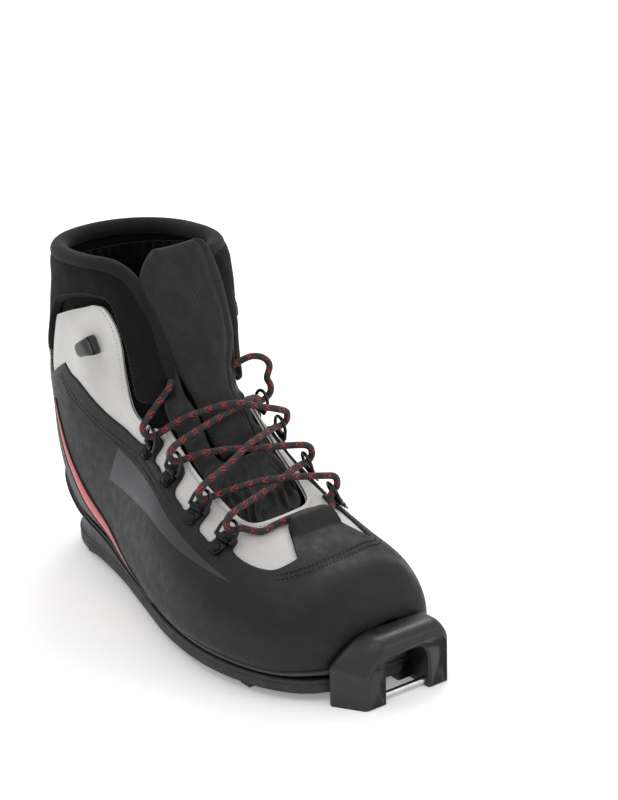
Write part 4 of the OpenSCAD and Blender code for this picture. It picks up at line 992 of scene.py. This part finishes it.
# %% Insole
BED_ROWS, BED_COLUMNS = 110, 30
BED_ROUND, HEEL_HOLLOW, HEEL_X = 1.6, 0.5, -60  # mm: the edge's fall, the hollow's depth, where it ends
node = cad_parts["insole"]
corners = np.array([node.matrix_world @ v.co for v in node.data.vertices]) * 1000
bed_low, bed_high = corners.min(0), corners.max(0)
across_mid = sole_ring[:, 1] > np.interp(sole_ring[:, 0], [-150, 150], [bed_low[1] + bed_high[1]] * 2) / 2
near, far = (side[np.argsort(side[:, 0])] for side in (sole_ring[~across_mid], sole_ring[across_mid]))
x = (bed_low[0] + bed_high[0]) / 2 - (bed_high[0] - bed_low[0]) / 2 * np.cos(np.linspace(0.02, np.pi - 0.02,
                                                                                         BED_ROWS))
x_sole = np.interp(x, [bed_low[0], bed_high[0]], [sole_ring[:, 0].min(), sole_ring[:, 0].max()])
y_near, y_far = np.interp(x_sole, *near.T), np.interp(x_sole, *far.T)
mid, half = (y_near + y_far) / 2, (y_far - y_near) / 2
half = half * (bed_high[1] - bed_low[1]) / (half.max() * 2)
mid = mid + (bed_low[1] + bed_high[1]) / 2 - (mid.min() + mid.max()) / 2
v = np.linspace(-1, 1, BED_COLUMNS)
bed_x = np.broadcast_to(x[:, None], (BED_ROWS, BED_COLUMNS))
bed_y = mid[:, None] + half[:, None] * v * 0.985
soft_edge = 1 - np.abs(v[None]) ** 8 * np.ones((BED_ROWS, 1))
hollow = HEEL_HOLLOW * (1 - v[None] ** 2) * (x[:, None] < HEEL_X)
bed_top = bed_high[2] - BED_ROUND + BED_ROUND * soft_edge - hollow
bed = shell("insole_felt_bed", np.stack([bed_x, bed_y, bed_top], -1),
            np.stack([bed_x, bed_y, np.full_like(bed_top, bed_low[2] + 0.2)], -1))
dress(bed, "boot", felt, "insole_foam", "insole")
print("insole box", bed_low.round(1), bed_high.round(1), "bed y", bed_y.min().round(1),
      bed_y.max().round(1))

# %% [markdown]
# ## Toe block and bar
# The toe block is pressed rubber: one section, an arch on two feet, carried forward with its top
# rounding over, and a root under the sole with the guide groove. The bar in its window is steel.

# %% Toe block
BLOCK_Y, BLOCK_HALF, WINDOW_HALF, FLARE = 14.0, 28.0, 14.5, 12.5
BACK_X, FRONT_X, BLOCK_TOP, WINDOW_TOP, ROUND = 134.2, 153.0, 37.0, 27.0, 9.0


def corner_arc(y, z, radius, start, end, steps=10):
    """Points of a circle's arc, from one angle to another, in degrees."""
    a = np.radians(np.linspace(start, end, steps))
    return np.stack([y + radius * np.cos(a), z + radius * np.sin(a)], -1)


def straight(p, q, steps=8):
    """Evenly spaced points between two points."""
    p, q = np.asarray(p, float), np.asarray(q, float)
    return p + (q - p) * np.linspace(0, 1, steps)[1:-1, None]


def arch_section(x, top, inset):
    """The block's section at one depth: outer sides and top, feet, and the arch of the window, moved in
    by inset. The outer side flares out to the rear, and the top falls to a low shoulder there: a
    quarter sine."""
    flare = np.clip((FRONT_X - x) / 20, 0, 1)
    left, right, r = -BLOCK_HALF - FLARE * flare + inset, BLOCK_HALF - inset, 7.0
    shoulder, reach = 19 + 5 * flare - inset, 15 + 12 * flare
    t = top - inset
    y = np.linspace(left + 0.8, right - r, 34)
    crown = shoulder + (t - shoulder) * np.sin(np.pi / 2 * np.clip((y - left) / reach, 0, 1)) ** 0.9
    outer_line = np.concatenate([[[left, inset * 0.4]], straight((left, inset * 0.4),
                                                                 (left, shoulder - 0.8)),
                                                                 [[left, shoulder - 0.8]],
                                 np.stack([y, crown], -1), corner_arc(right - r, t - r, r, 86, 0),
                                 straight((right, t - r), (right, inset * 0.4)), [[right, inset * 0.4]]])
    a = np.radians(np.linspace(0, 180, 30))
    iw, spring = WINDOW_HALF + inset, 12.0
    rise = min(WINDOW_TOP + 0.6 * inset, top - 2.6) - spring
    arch = np.stack([iw * np.sign(np.cos(a)) * np.abs(np.cos(a)) ** 0.6, spring + rise * np.sin(a) ** 0.55],
                    -1)
    inner_line = np.concatenate([[[iw, inset * 0.4]], straight((iw, inset * 0.4), (iw, spring), 6), arch,
                                 straight((-iw, spring), (-iw, inset * 0.4), 6), [[-iw, inset * 0.4]]])
    return np.concatenate([outer_line, straight(outer_line[-1], inner_line[0], 6), inner_line,
                           straight(inner_line[-1], outer_line[0], 6)])


def carried_forward(name, xs, sections):
    """A closed section carried along x, with flat ends. Each section is a list of (y, z) points."""
    points = np.array([np.column_stack([np.full(len(sec), x), sec[:, 0] + BLOCK_Y, sec[:, 1]])
                       for x, sec in zip(xs, sections)])
    return mesh_piece(name, points, capped(*points.shape[:2], turned=True))


depth = np.concatenate([[BACK_X, BACK_X + 0.6, BACK_X + 1.5], np.linspace(137, FRONT_X - ROUND, 6),
                        FRONT_X - ROUND + ROUND * np.sin(np.radians(np.linspace(8, 66, 12))),
                        [FRONT_X - 0.5, FRONT_X - 0.12, FRONT_X]])
inset = np.where(depth < BACK_X + 1.4, (BACK_X + 1.4 - depth) * 0.7,
                 np.clip((depth - FRONT_X + 1.6) / 1.6, 0, 1) ** 2.2 * 1.3)
tops = BLOCK_TOP - ROUND + ROUND * np.sqrt(np.clip(1 - (np.clip(depth - FRONT_X + ROUND, 0,
                                                                ROUND) / ROUND * 0.93) ** 2, 0, 1))
block = carried_forward("toe_block_arch", depth, [arch_section(x, t, i) for x, t,
                                                  i in zip(depth, tops, inset)])
dress(block, "boot", block_rubber, "hard_rubber", "toe_block")


def root_section(inset, top=13.0):
    """The part under the sole: a bar with the guide groove in it."""
    w, gw, gz = BLOCK_HALF - inset - 0.2, 7.0 + inset * 0.5, 8.6
    return np.concatenate([[[-w, inset]], straight((-w, inset), (-w, top - 0.5), 6),
                           [[-w, top - 0.5], [-w + 0.5, top]],
                           straight((-w + 0.5, top), (w - 0.5, top), 12), [[w - 0.5, top], [w, top - 0.5]],
                           straight((w, top - 0.5), (w, inset), 6), [[w, inset]],
                           straight((w, inset), (gw, inset), 6),
                           [[gw, inset]], straight((gw, inset), (gw, gz), 6),
                           [[gw - 0.6, gz], [-gw + 0.6, gz]],
                           straight((-gw, gz), (-gw, inset), 6), [[-gw, inset]],
                           straight((-gw, inset), (-w, inset), 6)])


root_x = np.array([111.0, 111.3, 112.2, 114.5, 118.0, 130.0, 135.6, 136.0])
root_inset = np.array([2.6, 1.6, 0.7, 0.15, 0.0, 0.0, 0.0, 0.2])
dress(carried_forward("toe_block_root", root_x, [root_section(i) for i in root_inset]), "boot",
      block_rubber, "hard_rubber")
PAD_HALF, PAD_LOW, PAD_HIGH = 13.6, 13.0, 25.5  # mm: the pad's half width, and its raised face's heights
PAD_X, PAD_RISE = 135.4, 2.4  # mm: where the pad's flat lies, and how far its face stands in front of it
pad_yy, pad_zz = np.meshgrid(np.linspace(-PAD_HALF, PAD_HALF, 40), np.linspace(9.5, 33, 40), indexing="ij")
up_or_down = np.minimum(pad_zz - PAD_LOW, PAD_HIGH - pad_zz) / 2.5
edge_far = np.minimum((PAD_HALF - np.abs(pad_yy)) / 3.0, up_or_down).clip(0, 1)
pad_x = PAD_X + PAD_RISE * (1 - (1 - edge_far) ** 2)
pad_outer = np.stack([pad_x, pad_yy + BLOCK_Y, pad_zz], -1)
pad_inner = np.stack([np.full_like(pad_x, 133.4), pad_yy + BLOCK_Y, pad_zz], -1)
dress(shell("toe_block_pad", pad_outer, pad_inner), "boot", block_rubber, "hard_rubber")
wear("toe_bar", bright_steel)
for sign in (-1, 1):
    y = BLOCK_Y + sign * np.array([14.6, 14.9, 15.3, 15.8])
    boss = np.stack([np.full(4, 148.0), y, np.full(4, 3.0)], -1)
    dress(tube("bar_boss_" + ("inner" if sign > 0 else "outer"), boss, [2.7, 2.95, 3.0, 2.9], 24,
               first=(0, 0, 1)),
          "boot", block_rubber, "hard_rubber")

# %% [markdown]
# ## Rings, plates and hooks
# The D-rings are bent wire and turn in barrels rolled from their plates, so the solids' own round
# shapes serve here. Each plate lies on a stitched tab of the overlay. The hooks are moulded nylon.

# %% Metal parts
SOLID_LOOKS = {"ring_plates": dark_steel, "ring_rivets": dark_steel, "hook_rivets": dark_steel,
               "midsole": foam, "lasting_board": board, "toe_puff": board, "heel_counter": board,
               "toe_lining": fleece, "shank": bright_steel}
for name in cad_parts:
    if name.startswith(("ring_lateral", "ring_medial")):
        wear(name, ring_steel)
    elif name in SOLID_LOOKS:
        wear(name, SOLID_LOOKS[name])


def set_on_skin(s, g, height, points):
    """Points given as x along the throat, y towards it and z off the skin, put in place on the skin."""
    n = outward(s, g)
    across = skin(s, g + 0.002) - skin(s, g - 0.002)
    flat = across - (across @ n) * n
    y = (flat if g < 0 else -flat) / np.linalg.norm(flat)
    x = np.cross(y, n)
    return above(np.array(s), np.array(g),
                 np.array(float(height))) + points[..., :1] * x + points[..., 1:2] * y + points[..., 2:] * n


hook_line = smooth_line([[-7, 1.0], [0, 1.0], [4.6, 1.0], [5.6, 2.2], [5.7, 5.0], [5.4, 7.0], [4.2, 7.95],
                         [1, 8.0], [-2.2, 7.8], [-3.8, 7.4]], 6)
hook_half = np.interp(np.linspace(0, 1, len(hook_line)), [0, 0.12, 0.4, 0.6, 0.85, 1],
                      [3.0, 4.8, 5.0, 4.4, 3.6, 1.6])
hook_thick = np.interp(np.linspace(0, 1, len(hook_line)), [0, 0.1, 0.5, 0.9, 1],
                       [0.5, 0.95, 1.1, 0.95, 0.5])
HOOK_SIZE = 1.15  # the hooks' mouldings against the section above
t = np.gradient(hook_line, axis=0)
t /= np.linalg.norm(t, axis=1, keepdims=True)
sideways = np.stack([-t[:, 1], t[:, 0]], -1)
a = np.linspace(0, 2 * np.pi, 28, endpoint=False)
ca = np.sign(np.cos(a)) * np.abs(np.cos(a)) ** 0.6
sa = np.sign(np.sin(a)) * np.abs(np.sin(a)) ** 0.8
yz = hook_line[:, None] + sideways[:, None] * (hook_thick[:, None] * sa)[..., None]
hook_points = HOOK_SIZE * np.concatenate([(hook_half[:, None] * ca)[..., None], yz], -1)
for word, g in (("lateral", -0.42), ("medial", 0.42)):
    points = set_on_skin(0.85, g, -2.0, hook_points)
    hook = mesh_piece("hook_" + word + "_moulding", points, capped(*points.shape[:2], turned=True))
    dress(hook, "boot", gloss_black, "gloss_black", "hook_" + word)

# %% [markdown]
# ## Floor and light
# A pale flat floor, which glows faintly, and white light from all round keep the background even.
# Three soft square lights put long soft highlights on the dark leather: one overhead on the outer
# side, one ahead and one behind on the inner side.

# %% Stage
def plain(name, code, rough, glow=0.0):
    """A plain matt surface for the stage, which may glow like a lit table."""
    made = bpy.data.materials.new(name)
    made.use_nodes = True
    shader = made.node_tree.nodes["Principled BSDF"]
    shader.inputs["Base Color"].default_value = colour(code)
    shader.inputs["Roughness"].default_value = rough
    shader.inputs["Emission Color"].default_value = colour("#ffffff")
    shader.inputs["Emission Strength"].default_value = glow
    return made


floor = mesh_piece("floor", np.array([[-6000, -6000, 0], [6000, -6000, 0], [6000, 6000, 0],
                                      [-6000, 6000, 0]]), [[0, 1, 2, 3]], flat=True)
floor.data.materials.append(plain("studio_paper", "#fafafa", 0.9, 0.2))
floor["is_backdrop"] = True
world = bpy.data.worlds.new("studio")
world.use_nodes = True
world.node_tree.nodes["Background"].inputs[0].default_value = colour("#ffffff")
world.node_tree.nodes["Background"].inputs[1].default_value = 0.85
scene.world = world


def soft_light(name, place, target, size, power):
    """A square area light in metres that points at a target."""
    data = bpy.data.lights.new(name, "AREA")
    data.shape, data.size, data.energy = "SQUARE", size, power
    light = bpy.data.objects.new(name, data)
    scene.collection.objects.link(light)
    back = np.array(place, float) - np.array(target, float)
    back /= np.linalg.norm(back)
    side = np.cross([0, 0, 1], back)
    side /= np.linalg.norm(side)
    m = np.eye(4)
    m[:3, 0], m[:3, 1], m[:3, 2], m[:3, 3] = side, np.cross(back, side), back, place
    light.matrix_world = Matrix(m.tolist())


soft_light("key_light", (0.35, -0.55, 2.1), (0, 0, 0.1), 1.3, 6)
soft_light("side_light", (1.4, 0.9, 1.0), (0, 0, 0.1), 0.8, 2.5)
soft_light("back_light", (-0.9, 1.0, 1.7), (0, 0, 0.12), 0.9, 12)
scene.view_settings.view_transform = "Standard"

# %% [markdown]
# ## Bounds
# The lace is held by the rings all the way and goes back into the boot at both ends. The bounds of
# all shown pieces but the floor are found.

# %% Finish
low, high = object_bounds()
